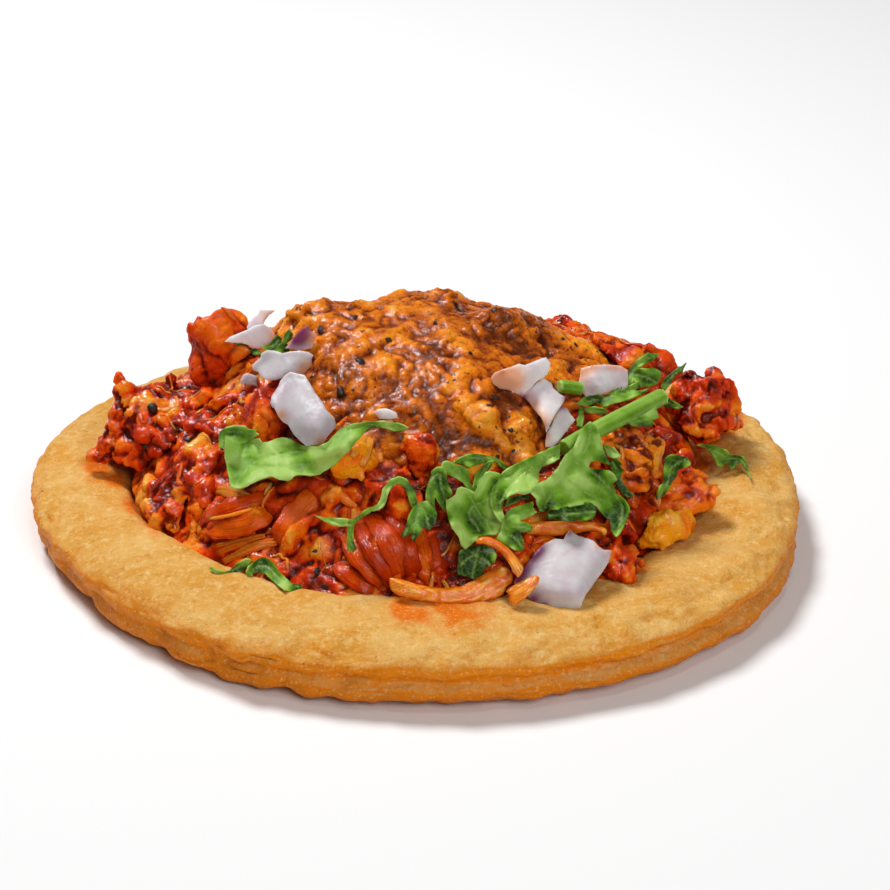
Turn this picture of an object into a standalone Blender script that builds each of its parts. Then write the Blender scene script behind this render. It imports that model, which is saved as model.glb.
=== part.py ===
"""A chicharron sope, at its real size.

A thick round of maize dough, fried golden, with a rim pinched up by hand. Its hollow is
heaped with pork rind stewed in red chile sauce, under a spoonful of chunky salsa, diced
red onion and torn cilantro. The origin is the middle of the footprint on the table, with
+Z up and +Y towards the back. Lengths are in millimetres until the last lines, which
turn every finished piece into metres.
"""

import math
import random

import bmesh
import bpy
from mathutils import Matrix, Vector, noise
from mathutils.bvhtree import BVHTree

METRES = 0.001
GAP = 0.3  # air kept between two pieces that touch
CREASE = 50  # degrees: edges sharper than this aren't shaded smooth

SOPE_RADIUS = 54.6
RIM_HEIGHT = 8.7
FLOOR_HEIGHT = 4.5
HOLLOW_RADIUS = 39.8

HEAP_MIDDLE = (1.5, 0.3)
HEAP_RADII = (40.5, 39.0)
HEAP_RISE = 21.4
HEAP_EDGE = 7.6
LEFT_SHOULDER = (-18.0, 3.0)

SALSA_MIDDLE = (2.0, -2.0)
SALSA_DEPTH = 2.0
SALSA_EDGE = 0.7  # its depth at the slack edge
SALSA_SEAT = GAP + 0.25  # how far its underside stays off the heap, whose facets cut corners

for old in list(bpy.data.objects):
    bpy.data.objects.remove(old, do_unlink=True)

placed = {}  # the surface of each finished piece, by name
grown_forms = {}  # what a neighbour is cut back by: the piece with its gap round it


def material(name, colour, roughness):
    look = bpy.data.materials.new(name)
    look.use_nodes = True
    shader = look.node_tree.nodes["Principled BSDF"]
    shader.inputs["Base Color"].default_value = (*colour, 1.0)
    shader.inputs["Roughness"].default_value = roughness
    shader.inputs["Metallic"].default_value = 0.0
    look.diffuse_color = (*colour, 1.0)
    return look


DOUGH = material("fried_dough", (0.72, 0.38, 0.10), 0.55)
STEW = material("stewed_filling", (0.42, 0.06, 0.01), 0.30)
RED_MEAT = material("red_rind", (0.48, 0.05, 0.01), 0.28)
ORANGE_MEAT = material("orange_rind", (0.66, 0.17, 0.02), 0.28)
SALSA = material("chunky_salsa", (0.42, 0.13, 0.03), 0.32)
ONION = material("red_onion", (0.66, 0.60, 0.66), 0.35)
LEAF = material("cilantro_leaf", (0.12, 0.30, 0.03), 0.40)
STEM = material("cilantro_stem", (0.30, 0.48, 0.08), 0.40)
SHRED = material("orange_shred", (0.70, 0.20, 0.02), 0.35)


def object_of(name, shape, look):
    """A new object holding a copy of a bmesh, shaded smooth where it isn't creased."""
    mesh = bpy.data.meshes.new(name)
    shape.to_mesh(mesh)
    mesh.materials.append(look)
    mesh.shade_smooth()
    mesh.set_sharp_from_angle(angle=math.radians(CREASE))
    piece = bpy.data.objects.new(name, mesh)
    bpy.context.scene.collection.objects.link(piece)
    return piece


def shape_of(piece):
    shape = bmesh.new()
    shape.from_mesh(piece.data)
    return shape


def grown(shape, amount):
    """A copy of a closed shape with its surface moved out along its normals."""
    fatter = shape.copy()
    fatter.normal_update()
    for vert, normal in [(vert, vert.normal.copy()) for vert in fatter.verts]:
        vert.co += normal * amount
    return fatter


def keep(piece):
    """Records a finished piece, so that what comes later can rest on it."""
    placed[piece.name] = BVHTree.FromBMesh(shape_of(piece))
    return piece


def smooth_step(value):
    value = min(max(value, 0.0), 1.0)
    return value * value * (3.0 - 2.0 * value)


def ripple(x, y, size, seed):
    """Soft lumps about as wide as size, from -1 to 1."""
    return noise.noise(Vector((x / size, y / size, seed)))


def wave(angle, waves):
    """A sum of (turns, height, peak in degrees) cosines round a circle."""
    return sum(high * math.cos(turns * (angle - math.radians(peak))) for turns, high, peak in waves)


# The dough: a round pressed by hand, so its outline wanders by a millimetre or two. A
# fold runs round the side where the rim was pinched up, and shows most at the front right.
OUTLINE_WAVES = [(1, 1.1, -32), (2, 0.85, -40), (3, 0.65, -55), (4, 0.45, -4), (5, 0.55, 24)]
INNER_WAVES = [(2, 0.6, 20), (3, 0.5, -100), (5, 0.35, 40)]
SECTORS = 72


def sope_radius(angle):
    return SOPE_RADIUS + wave(angle, OUTLINE_WAVES)


def hollow_radius(angle):
    return HOLLOW_RADIUS + wave(angle, INNER_WAVES)


def rim_profile(angle):
    """(radius, height) from the underside, round the edge, over the rim, to the floor."""
    outer = sope_radius(angle)
    inner = hollow_radius(angle)
    front_right = 0.5 + 0.5 * math.cos(angle - math.radians(-50))
    pinched = front_right**3
    fold = 0.15 + pinched * (1.4 + wave(angle, [(7, 0.3, 10), (11, 0.2, 70)]))
    lip = 0.9 * pinched
    crest = RIM_HEIGHT + wave(angle, [(2, 0.25, 60), (5, 0.25, 0), (9, 0.2, 25)])
    middle = (outer + inner) / 2
    return [
        (outer - 6.0, 0.0),
        (outer - 2.0, 0.5),
        (outer - 0.9 + lip, 2.0),
        (outer - 0.9 + lip * 0.6, 3.4),
        (outer - 1.0 - fold, 4.3),
        (outer - 0.2, 5.4),
        (outer - 0.5, 6.7),
        (outer - 2.4, crest - 0.8),
        (outer - 5.0, crest - 0.15),
        (middle, crest),
        (inner + 3.0, crest - 0.5),
        (inner + 0.6, crest - 1.5),
        (inner, FLOOR_HEIGHT + 1.2),
        (inner - 1.0, FLOOR_HEIGHT),
    ]


def turned_rings(profile, sectors, first, last):
    """A closed solid with a ring of points for each profile step, capped at two centres."""
    shape = bmesh.new()
    angles = [math.tau * step / sectors for step in range(sectors)]
    columns = [[shape.verts.new(point) for point in profile(angle)] for angle in angles]
    start = shape.verts.new(first)
    end = shape.verts.new(last)
    for step in range(sectors):
        here, after = columns[step], columns[(step + 1) % sectors]
        shape.faces.new((start, after[0], here[0]))
        for low, high in zip(range(len(here) - 1), range(1, len(here))):
            shape.faces.new((here[low], after[low], after[high], here[high]))
        shape.faces.new((end, here[-1], after[-1]))
    return shape


def rim_points(angle):
    return [(r * math.cos(angle), r * math.sin(angle), z) for r, z in rim_profile(angle)]


dough = turned_rings(rim_points, SECTORS, (0, 0, 0), (0, 0, FLOOR_HEIGHT))
keep(object_of("sope_base", dough, DOUGH))
grown_forms["sope_base"] = grown(dough, GAP)


# The filling: one heap that fills the hollow. Its bare form is kept apart, because the
# pieces on top are seated on it before the small shreds and crumbs are joined to it.
HEAP_RINGS = 12
HEAP_SECTORS = 52


def heap_height(x, y):
    """The bare heap: a dome with a flat crown and lumps as wide as the stewed pieces."""
    across = (x - HEAP_MIDDLE[0]) / HEAP_RADII[0]
    along = (y - HEAP_MIDDLE[1]) / HEAP_RADII[1]
    inside = max(0.0, 1.0 - across * across - along * along)
    lumps = 1.5 * ripple(x, y, 9.0, 2.5) + 0.8 * ripple(x, y, 4.5, 7.5)
    away = math.hypot(x - LEFT_SHOULDER[0], y - LEFT_SHOULDER[1]) / 13.0
    lumps += 2.6 * (1.0 - smooth_step(away))
    return HEAP_EDGE + HEAP_RISE * inside**0.8 + lumps * min(1.0, 2.5 * inside)


def heap_points(angle):
    outer = hollow_radius(angle) - GAP
    wall = [(outer - 1.4, FLOOR_HEIGHT + GAP), (outer - 0.3, FLOOR_HEIGHT + 1.4 + GAP)]
    points = [(r * math.cos(angle), r * math.sin(angle), z) for r, z in wall]
    for ring in range(HEAP_RINGS):
        share = 1.0 - ring / HEAP_RINGS
        x = outer * share * math.cos(angle) + HEAP_MIDDLE[0] * (1.0 - share)
        y = outer * share * math.sin(angle) + HEAP_MIDDLE[1] * (1.0 - share)
        points.append((x, y, heap_height(x, y)))
    return points


heap = turned_rings(
    heap_points,
    HEAP_SECTORS,
    (0, 0, FLOOR_HEIGHT + GAP),
    (*HEAP_MIDDLE, heap_height(*HEAP_MIDDLE)),
)
placed["filling"] = BVHTree.FromBMesh(heap)
grown_forms["filling"] = grown(heap, GAP)


# The salsa: a thick spoonful that follows the crown of the heap and ends in a slack edge.
# Its outline is given as (degrees, radius) from its own middle.
SALSA_REACH = [
    (0, 28.5), (25, 28.5), (60, 25.0), (100, 24.0), (140, 24.0), (175, 23.5), (205, 19.5),
    (232, 22.0), (262, 23.5), (272, 25.5), (292, 25.0), (308, 25.5), (322, 22.0), (340, 23.5),
]
SALSA_LUMP = (11.5, -20.8)  # a soft piece of tomato under the sauce, at its front
SALSA_RINGS = 7
SALSA_SECTORS = 40


def curve_through(points, share):
    """A smooth open curve through points of any size, at share 0 to 1 of its steps."""
    spans = len(points) - 1
    span = min(int(share * spans), spans - 1)
    t = share * spans - span
    before, start, end, after = (points[min(max(span + k, 0), spans)] for k in (-1, 0, 1, 2))
    return tuple(
        0.5 * (2 * b + (c - a) * t + (2 * a - 5 * b + 4 * c - d) * t * t + (3 * b - 3 * c + d - a) * t**3)
        for a, b, c, d in zip(before, start, end, after)
    )


def salsa_reach(angle):
    degrees = math.degrees(angle) % 360
    stops = SALSA_REACH + [(SALSA_REACH[0][0] + 360, SALSA_REACH[0][1])]
    for (low, near), (high, far) in zip(stops, stops[1:]):
        if low <= degrees <= high:
            return near + (far - near) * smooth_step((degrees - low) / (high - low))
    return stops[0][1]


def salsa_depth(x, y, share):
    """How deep the salsa lies, share being 0 at its middle and 1 at its edge."""
    lump = math.hypot(x - SALSA_LUMP[0], (y - SALSA_LUMP[1]) * 1.2) / 7.5
    deep = SALSA_DEPTH * (1.0 - share**6) + 2.2 * (1.0 - smooth_step(lump)) * (1.0 - share**8)
    left = smooth_step((SALSA_MIDDLE[0] - x) / 20.0) * 1.4 * (1.0 - share**4)
    return SALSA_EDGE + deep + left + 0.5 * ripple(x, y, 3.5, 4.5) * (1.0 - share**6)


def salsa_points(angle):
    under, over = [], []
    for ring in range(1, SALSA_RINGS + 1):
        share = ring / SALSA_RINGS
        x = SALSA_MIDDLE[0] + salsa_reach(angle) * share * math.cos(angle)
        y = SALSA_MIDDLE[1] + salsa_reach(angle) * share * math.sin(angle)
        base = heap_height(x, y) + SALSA_SEAT
        under.append((x, y, base))
        over.append((x, y, base + salsa_depth(x, y, share)))
    return under + over[::-1]


salsa_base = heap_height(*SALSA_MIDDLE) + SALSA_SEAT
salsa = turned_rings(
    salsa_points,
    SALSA_SECTORS,
    (*SALSA_MIDDLE, salsa_base),
    (*SALSA_MIDDLE, salsa_base + salsa_depth(*SALSA_MIDDLE, 0.0)),
)
keep(object_of("salsa_cap", salsa, SALSA))
grown_forms["salsa_cap"] = grown(salsa, GAP)


def largest_body(shape):
    """Drops the loose scraps that a cut leaves, keeping the body with most points."""
    left = set(shape.verts)
    bodies = []
    while left:
        found = {left.pop()}
        front = set(found)
        while front:
            front = {edge.other_vert(v) for v in front for edge in v.link_edges} - found
            found |= front
        left -= found
        bodies.append(found)
    scraps = sorted(bodies, key=len)[:-1]
    bmesh.ops.delete(shape, geom=[vert for body in scraps for vert in body], context="VERTS")


def cut_back(piece, names):
    """Takes from a piece the room that earlier pieces hold, with their gap."""
    for name in names:
        cutter = object_of("cutter", grown_forms[name], DOUGH)
        cut = piece.modifiers.new("make_room", "BOOLEAN")
        cut.operation = "DIFFERENCE"
        cut.solver = "EXACT"
        cut.object = cutter
        with bpy.context.temp_override(object=piece, active_object=piece):
            bpy.ops.object.modifier_apply(modifier=cut.name)
        bpy.data.objects.remove(cutter, do_unlink=True)
    shape = shape_of(piece)
    largest_body(shape)
    shape.to_mesh(piece.data)


def chunk(name, middle, halves, heading, look, rough=0.3, spurs=(), detail=3):
    """A torn piece of stewed rind: a lumpy body, with spurs given as (direction, length)."""
    shape = bmesh.new()
    bmesh.ops.create_icosphere(shape, subdivisions=detail, radius=1.0)
    seed = Vector((middle[0] * 1.7, middle[1] * 1.3, 0.0))
    turn = Matrix.Rotation(math.radians(heading), 3, "Z")
    for vert in shape.verts:
        way = vert.co.normalized()
        bulge = rough * (noise.noise(way * 1.4 + seed) + 0.5 * noise.noise(way * 3.1 + seed))
        body = Vector(way[axis] * halves[axis] * (1.0 + bulge) for axis in range(3))
        place = turn @ body
        for direction, length in spurs:
            toward = Vector(direction).normalized()
            place += toward * length * max(0.0, place.normalized().dot(toward)) ** 6
        vert.co = place + Vector(middle)
    piece = object_of(name, shape, look)
    near = [
        other
        for other, form in grown_forms.items()
        if BVHTree.FromBMesh(form).overlap(BVHTree.FromBMesh(shape))
    ]
    cut_back(piece, near)
    grown_forms[name] = grown(shape, GAP)
    return keep(piece)


# The large pieces of stewed rind that stand out of the heap, from the left round the
# front to the right, and then those at the back.
chunk("rind_left", (-30.4, 1.0, 12.6), (11.8, 8.6, 6.4), 5, RED_MEAT, 0.42,
      [((-0.75, 0.1, 0.75), 5.0), ((-1.0, 0.45, -0.35), 4.0), ((0.6, -0.2, 0.8), 2.0)])
chunk("rind_upper_left", (-26.6, 4.5, 23.5), (4.5, 5.0, 6.2), 10, ORANGE_MEAT, 0.26,
      [((-0.8, -0.2, 0.75), 2.4), ((0.1, 0.0, 1.0), 1.2)], 2)
chunk("rind_lower_left", (-28.0, -15.2, 10.0), (9.2, 7.2, 7.6), -20, RED_MEAT, 0.38)
chunk("rind_petal_left", (-22.0, -25.4, 12.2), (6.8, 3.4, 4.0), -12, ORANGE_MEAT, 0.22, (), 2)
chunk("rind_beside_salsa", (-18.6, -13.6, 21.6), (3.6, 4.4, 5.0), 0, ORANGE_MEAT, 0.25, (), 2)
chunk("rind_petal_front", (-3.2, -34.8, 10.4), (6.5, 3.8, 6.4), -18, RED_MEAT, 0.2)
chunk("rind_yellow_front", (-7.8, -25.2, 22.0), (3.6, 3.0, 3.0), 15, ORANGE_MEAT, 0.25, (), 2)
chunk("rind_orange_front", (1.6, -28.0, 23.2), (2.4, 2.6, 4.2), 0, ORANGE_MEAT, 0.25, (), 2)
chunk("rind_dark_middle", (-0.6, -30.4, 18.6), (5.4, 3.4, 4.2), 0, RED_MEAT, 0.3, (), 2)
chunk("rind_under_stem", (28.8, -17.0, 15.8), (5.4, 5.4, 5.6), 20, RED_MEAT, 0.36)
chunk("rind_right", (35.4, -14.0, 10.9), (5.4, 5.0, 3.6), -30, ORANGE_MEAT, 0.36,
      [((0.8, -0.3, 0.2), 1.5)])
chunk("rind_yellow_right", (34.0, -21.6, 9.4), (4.4, 3.6, 3.2), 40, ORANGE_MEAT, 0.22, (), 2)
chunk("rind_front_right", (27.8, -31.8, 7.8), (3.3, 3.3, 4.0), 30, RED_MEAT, 0.3, (), 2)
chunk("rind_front", (11.0, -33.6, 10.4), (4.6, 3.2, 4.0), 10, RED_MEAT, 0.28, (), 2)
chunk("rind_far_right", (41.2, 6.5, 14.4), (5.2, 6.6, 4.6), 10, RED_MEAT, 0.42,
      [((0.2, -0.1, 1.0), 1.6), ((0.9, 0.5, -0.4), 2.4)])
chunk("rind_ridge", (29.0, 6.0, 21.2), (9.2, 5.6, 4.4), -12, ORANGE_MEAT, 0.3,
      [((-0.9, -0.1, 0.6), 3.6)])
chunk("rind_back_left", (-31.0, 19.5, 12.5), (8.0, 7.4, 6.6), 40, RED_MEAT, 0.32)
chunk("rind_back", (-13.5, 30.0, 12.5), (8.6, 6.2, 6.4), -10, RED_MEAT, 0.3)
chunk("rind_back_middle", (5.5, 31.0, 13.5), (7.4, 6.6, 6.2), 25, ORANGE_MEAT, 0.3)
chunk("rind_back_right", (23.0, 26.5, 12.5), (8.4, 6.4, 6.6), -35, RED_MEAT, 0.32)


# The toppings lie on whatever is under them, so their heights are found, not written.
SKY = 60.0  # higher than anything on the sope
DROP = 6.0  # how far over its seat an onion piece starts
STEP = 0.02  # share of a curve over which its direction is measured
DRAPE_REACH = 0.6  # a draped strip clears everything this near to each of its points
DRAPE_PASSES = 4


def highest_below(x, y, reach=0.0):
    """Height of the topmost surface at a point, or anywhere within reach of it."""
    spots = [(x, y)]
    if reach:
        around = [math.tau * step / 6 for step in range(6)]
        spots += [(x + reach * math.cos(turn), y + reach * math.sin(turn)) for turn in around]
    heights = [0.0]
    for spot in spots:
        for surface in placed.values():
            met = surface.ray_cast(Vector((*spot, SKY)), Vector((0, 0, -1)))[0]
            if met:
                heights.append(met.z)
    return max(heights)


def is_clear(shape):
    """Whether a shape, with its gap round it, meets none of the finished pieces."""
    surface = BVHTree.FromBMesh(grown(shape, GAP))
    return not any(surface.overlap(other) for other in placed.values())


def let_down(shape, start, step=0.25):
    """Lowers a rigid piece from a height until it would touch, and leaves it there."""
    bmesh.ops.translate(shape, vec=(0, 0, start), verts=shape.verts)
    while is_clear(shape):
        bmesh.ops.translate(shape, vec=(0, 0, -step), verts=shape.verts)
    while not is_clear(shape):
        bmesh.ops.translate(shape, vec=(0, 0, step / 4), verts=shape.verts)


def slope_at(x, y, reach):
    """The direction that faces away from the surface round a point."""
    east = Vector((2 * reach, 0, highest_below(x + reach, y, 1.0) - highest_below(x - reach, y, 1.0)))
    north = Vector((0, 2 * reach, highest_below(x, y + reach, 1.0) - highest_below(x, y - reach, 1.0)))
    return east.cross(north).normalized()


# Chopped onion: each piece is a bit of one bowed layer with straight knife cuts round it.
# Its corners are (across, up the slope) from its middle, and lean tips it to the front.
def onion_piece(name, middle, corners, thickness=2.0, bow=0.5, lean=0, reach=3.0):
    shape = bmesh.new()
    faces = []
    for height in (-thickness / 2, thickness / 2):
        rim = [shape.verts.new((x, y, height)) for x, y in corners]
        centre = shape.verts.new((0, 0, height + bow))
        faces.append((rim, centre))
    (low, low_centre), (high, high_centre) = faces
    for here in range(len(corners)):
        after = (here + 1) % len(corners)
        shape.faces.new((low_centre, low[here], low[after]))
        shape.faces.new((high_centre, high[after], high[here]))
        shape.faces.new((low[here], high[here], high[after], low[after]))
    bmesh.ops.recalc_face_normals(shape, faces=shape.faces)
    up = slope_at(*middle, reach)
    north = Vector((0, 1, 0)) - up * up.y
    seat = Matrix((north.normalized().cross(up), north.normalized(), up)).transposed()
    tip = Matrix.Rotation(math.radians(lean), 3, "X")
    bmesh.ops.transform(shape, matrix=(seat @ tip).to_4x4(), verts=shape.verts)
    bmesh.ops.translate(shape, vec=(*middle, 0), verts=shape.verts)
    let_down(shape, highest_below(*middle, reach) + DROP)
    return keep(object_of(name, shape, ONION))


onion_piece("onion_plate_left", (-17.4, -10.6), [
    (-3.6, 2.1), (0.0, 1.7), (4.8, 2.1), (4.4, 0.0), (3.4, -1.5), (-0.5, -2.4), (-2.8, -2.2), (-4.8, -0.5),
], 1.6)
onion_piece("onion_wedge_left", (-22.4, 0.2), [
    (-3.8, -1.8), (-0.6, 0.6), (1.2, 3.4), (3.3, 3.4), (2.8, 0.6), (3.1, -0.9), (0.9, -2.8), (-1.6, -2.5),
], 2.0)
onion_piece("onion_tip_purple", (-15.0, -6.2), [
    (-2.2, -1.0), (-0.7, 1.3), (1.4, 2.2), (2.2, 1.0), (1.2, -1.3),
], 1.4)
onion_piece("onion_chip_left", (-22.8, -5.6), [
    (-1.3, -0.5), (-0.4, 0.9), (1.3, 0.5), (1.0, -1.0),
], 1.4, 0.1, 0, 1.5)
onion_piece("onion_chip_front", (-3.4, -21.8), [
    (-1.7, 0.3), (-0.2, 1.1), (1.5, -0.5), (0.0, -1.1),
], 1.4, 0.1, 0, 1.5)
onion_piece("onion_plate_right", (26.2, -7.8), [
    (-3.3, 1.4), (0.0, 2.2), (3.4, 2.0), (3.0, -0.8), (0.4, -2.6), (-2.3, -2.4),
], 2.2)
onion_piece("onion_lilac_low", (20.6, -18.4), [
    (0.0, 3.0), (2.0, 0.6), (-0.1, -2.6), (-1.9, -3.7), (-2.2, -1.0),
], 1.5)
onion_piece("onion_lilac_high", (18.2, -17.0), [
    (0.0, 3.9), (2.9, 1.0), (1.9, -1.8), (0.7, -4.9), (-0.5, -3.9), (-1.2, -1.2), (-2.9, 1.1),
], 1.5)
onion_piece("onion_spear", (15.2, -15.4), [
    (3.4, 2.6), (2.6, 3.1), (0.7, 2.6), (-4.5, -0.6), (-2.7, -2.0), (-0.4, -2.9), (3.0, 1.2),
], 1.4)
onion_piece("onion_back_left", (-7.0, 23.0), [
    (-3.4, 1.6), (0.8, 2.8), (3.6, 0.9), (2.2, -2.4), (-2.6, -2.0),
], 2.0)
onion_piece("onion_back_right", (13.0, 25.0), [
    (-2.4, 2.4), (2.2, 2.0), (3.2, -1.2), (-0.4, -2.8), (-3.0, -0.6),
], 2.0)
onion_piece("onion_large_front", (20.0, -37.0), [
    (0.7, 6.2), (2.4, 4.6), (6.4, 3.3), (5.8, 1.7), (2.8, -3.6), (2.0, -6.1), (-2.1, -5.1),
    (-4.9, -3.6), (-6.6, -1.0), (-4.6, 2.1), (-3.2, 4.0), (-0.6, 5.2),
], 2.0, 0.8, 26)


def ribbon(name, spine, widths, look, thick=0.45, along=8, across=2, lift=0.0, cup=0.0, round_edge=0.0):
    """A leaf or a shred: a strip whose lower face is draped over what lies under it.

    The spine runs through (x, y) points, and widths are half its breadth at even steps.
    Lift holds its middle off the pieces below, and cup raises its two long edges.
    """
    rows = []
    for step in range(along + 1):
        share = step / along
        x, y = curve_through(spine, share)
        ahead = curve_through(spine, min(share + STEP, 1.0))
        behind = curve_through(spine, max(share - STEP, 0.0))
        side = Vector((behind[1] - ahead[1], ahead[0] - behind[0])).normalized()
        half = curve_through([(width,) for width in widths], share)[0]
        row = []
        for column in range(across + 1):
            v = 2.0 * column / across - 1.0
            row.append((x + side.x * half * v, y + side.y * half * v, share, v))
        rows.append(row)
    ground = [[highest_below(x, y, DRAPE_REACH) for x, y, _, _ in row] for row in rows]
    height = [line[:] for line in ground]
    for _ in range(DRAPE_PASSES):
        for i, j in [(i, j) for i in range(along + 1) for j in range(across + 1)]:
            near = [
                height[p][q]
                for p, q in ((i - 1, j), (i + 1, j), (i, j - 1), (i, j + 1))
                if 0 <= p <= along and 0 <= q <= across
            ]
            height[i][j] = max(ground[i][j], sum(near) / len(near))
    shape = bmesh.new()
    grids = []
    for upper in (False, True):
        grid = []
        for i, row in enumerate(rows):
            line = []
            for j, (x, y, share, v) in enumerate(row):
                z = height[i][j] + GAP + lift * math.sin(math.pi * share) + cup * v * v
                z += thick * (1.0 - round_edge * v * v) if upper else thick * round_edge * 0.6 * v * v
                line.append(shape.verts.new((x, y, z)))
            grid.append(line)
        grids.append(grid)
    low, high = grids
    for i in range(along):
        for j in range(across):
            for grid, turn in ((low, 1), (high, -1)):
                a, b, c, d = grid[i][j], grid[i][j + 1], grid[i + 1][j + 1], grid[i + 1][j]
                shape.faces.new((a, b, c)[::turn])
                shape.faces.new((a, c, d)[::turn])
    border = [(i, 0) for i in range(along)] + [(along, j) for j in range(across)]
    border += [(i, across) for i in range(along, 0, -1)] + [(0, j) for j in range(across, 0, -1)]
    for (i, j), (p, q) in zip(border, border[1:] + border[:1]):
        shape.faces.new((low[i][j], low[p][q], high[p][q], high[i][j]))
    bmesh.ops.recalc_face_normals(shape, faces=shape.faces)
    while not is_clear(shape):
        bmesh.ops.translate(shape, vec=(0, 0, 0.1), verts=shape.verts)
    return keep(object_of(name, shape, look))


def stalk(name, route, radius, look, sides=7, along=6, drop=8.0):
    """A cut length of stalk, laid rigid along a bent route of (x, y, z) points."""
    shape = bmesh.new()
    rings = []
    for step in range(along + 1):
        share = step / along
        here = Vector(curve_through(route, share))
        ahead = Vector(curve_through(route, min(share + STEP, 1.0)))
        behind = Vector(curve_through(route, max(share - STEP, 0.0)))
        forward = (ahead - behind).normalized()
        side = forward.cross(Vector((0, 0, 1))).normalized()
        top = side.cross(forward)
        ring = [
            shape.verts.new(here + radius * (side * math.cos(turn) + top * math.sin(turn)))
            for turn in (math.tau * k / sides for k in range(sides))
        ]
        rings.append(ring)
    for near, far in zip(rings, rings[1:]):
        for k in range(sides):
            after = (k + 1) % sides
            shape.faces.new((near[k], near[after], far[after], far[k]))
    shape.faces.new(rings[0][::-1])
    shape.faces.new(rings[-1])
    bmesh.ops.recalc_face_normals(shape, faces=shape.faces)
    let_down(shape, drop)
    return keep(object_of(name, shape, look))


# Torn cilantro, its stalks, and the orange shreds of rind that have slipped to the front.
# Each piece is laid after those that it rests on.
stalk("cilantro_stalk", [
    (34.4, -9.0, 22.0), (29.4, -14.6, 22.0), (24.6, -19.2, 21.6), (20.4, -23.2, 20.9),
], 1.3, STEM)
stalk("cilantro_stalk_short", [
    (20.0, -12.4, 24.0), (21.6, -11.8, 23.6), (23.2, -11.0, 23.0),
], 0.95, STEM, 7, 2)
ribbon("cilantro_bits_left", [(-22.8, -2.6), (-20.2, -4.2), (-17.0, -4.8)], [0.6, 1.3, 0.5], LEAF, along=5)
ribbon("cilantro_back_leaf", [(24.4, -13.4), (28.0, -11.6), (32.8, -7.6)], [0.5, 1.2, 0.8], LEAF, along=7)
ribbon("cilantro_back_sprig", [(31.0, -2.0), (33.0, 0.4), (35.2, 3.4)], [1.2, 1.6, 0.4], LEAF, along=6)
ribbon("cilantro_back_tip", [(35.6, -0.6), (37.4, 2.0), (39.0, 4.4)], [0.5, 0.9, 0.3], LEAF, along=5)
ribbon("cilantro_under_stalk", [(30.0, -16.8), (32.0, -14.9), (34.2, -13.0)], [0.8, 1.1, 0.5], LEAF, along=6)
ribbon("cilantro_round_leaf", [(33.6, -20.4), (35.4, -19.8), (37.4, -18.8)], [1.0, 2.4, 1.0], LEAF, along=5)
ribbon("cilantro_rim_leaf", [
    (40.2, -4.6), (43.0, -3.6), (46.0, -2.4), (47.6, -6.6),
], [0.5, 1.4, 1.0, 0.3], LEAF)
ribbon("shred_front", [
    (-2.6, -40.0), (1.8, -40.8), (6.0, -40.4), (9.6, -39.0), (12.4, -37.8),
], [0.8, 1.1, 1.1, 1.1, 0.8], SHRED, 1.4, 9, lift=0.5, round_edge=0.5)
ribbon("shred_high", [
    (15.8, -31.4), (20.6, -30.6), (26.0, -31.6),
], [0.6, 0.9, 0.7], SHRED, 1.1, 6, round_edge=0.5)
ribbon("cilantro_long_leaf", [
    (-24.2, -19.4), (-20.2, -22.6), (-15.8, -24.6), (-11.2, -25.4),
    (-6.8, -26.0), (-3.0, -25.2), (0.0, -24.6),
], [2.2, 3.5, 3.3, 2.9, 2.5, 1.6, 0.4], LEAF, along=12, across=4, lift=0.4, cup=0.3)
ribbon("cilantro_long_leaf_fold", [
    (-26.2, -16.8), (-24.0, -16.4), (-21.0, -16.6),
], [0.8, 0.9, 0.5], LEAF, along=4)
onion_piece("onion_plate_white", (-14.4, -19.8), [
    (-1.8, 6.8), (0.2, 6.1), (2.1, 1.6), (4.4, -2.0), (4.1, -3.6), (2.6, -6.2),
    (0.6, -6.4), (-1.9, -2.9), (-4.3, 0.9), (-4.4, 2.6), (-3.0, 5.2),
], 1.7, 0.7, 4)
ribbon("cilantro_sprig", [
    (-12.6, -32.2), (-10.0, -33.2), (-7.7, -34.6), (-5.5, -34.8), (-3.4, -34.0), (-1.6, -32.6), (0.8, -33.0),
], [0.3, 0.6, 0.5, 0.5, 0.6, 0.7, 0.5], LEAF, along=12, lift=0.3)
ribbon("cilantro_sprig_fork", [
    (-7.2, -36.2), (-7.8, -36.9), (-6.8, -37.6),
], [0.4, 0.55, 0.5], LEAF, along=4, lift=0.8)
ribbon("cilantro_lobe_left", [
    (1.6, -33.0), (2.1, -34.8), (1.3, -36.8), (0.1, -38.4),
], [0.8, 1.6, 1.9, 0.9], LEAF, along=7, lift=1.0)
ribbon("cilantro_curl_top", [
    (2.6, -31.8), (4.8, -31.0), (8.0, -30.4), (11.6, -29.8),
], [0.9, 1.5, 1.5, 0.7], LEAF)
ribbon("cilantro_big_leaf", [
    (4.4, -33.8), (6.2, -34.8), (7.8, -36.2), (8.8, -37.6), (8.2, -38.6),
], [1.8, 3.4, 4.0, 3.4, 1.8], LEAF, along=8, across=4, lift=0.6, cup=0.4)
ribbon("cilantro_lobe_right", [
    (12.2, -37.0), (14.0, -34.4), (16.0, -31.6),
], [1.7, 2.3, 1.0], LEAF, along=7, lift=1.2)
ribbon("shred_middle", [
    (8.8, -38.8), (12.2, -39.8), (14.8, -39.2),
], [0.7, 0.9, 0.8], SHRED, 1.1, 5, round_edge=0.5)
ribbon("shred_on_onion", [
    (13.4, -42.6), (15.0, -41.8), (17.0, -40.4),
], [0.7, 1.0, 0.6], SHRED, 1.0, 4, round_edge=0.5)
ribbon("cilantro_sheath", [
    (19.4, -25.6), (15.8, -27.6), (12.8, -30.0), (12.0, -33.2), (13.0, -36.4),
], [1.2, 1.9, 2.1, 1.5, 0.4], STEM, 0.6, along=9, lift=0.6, cup=0.7)
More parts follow.
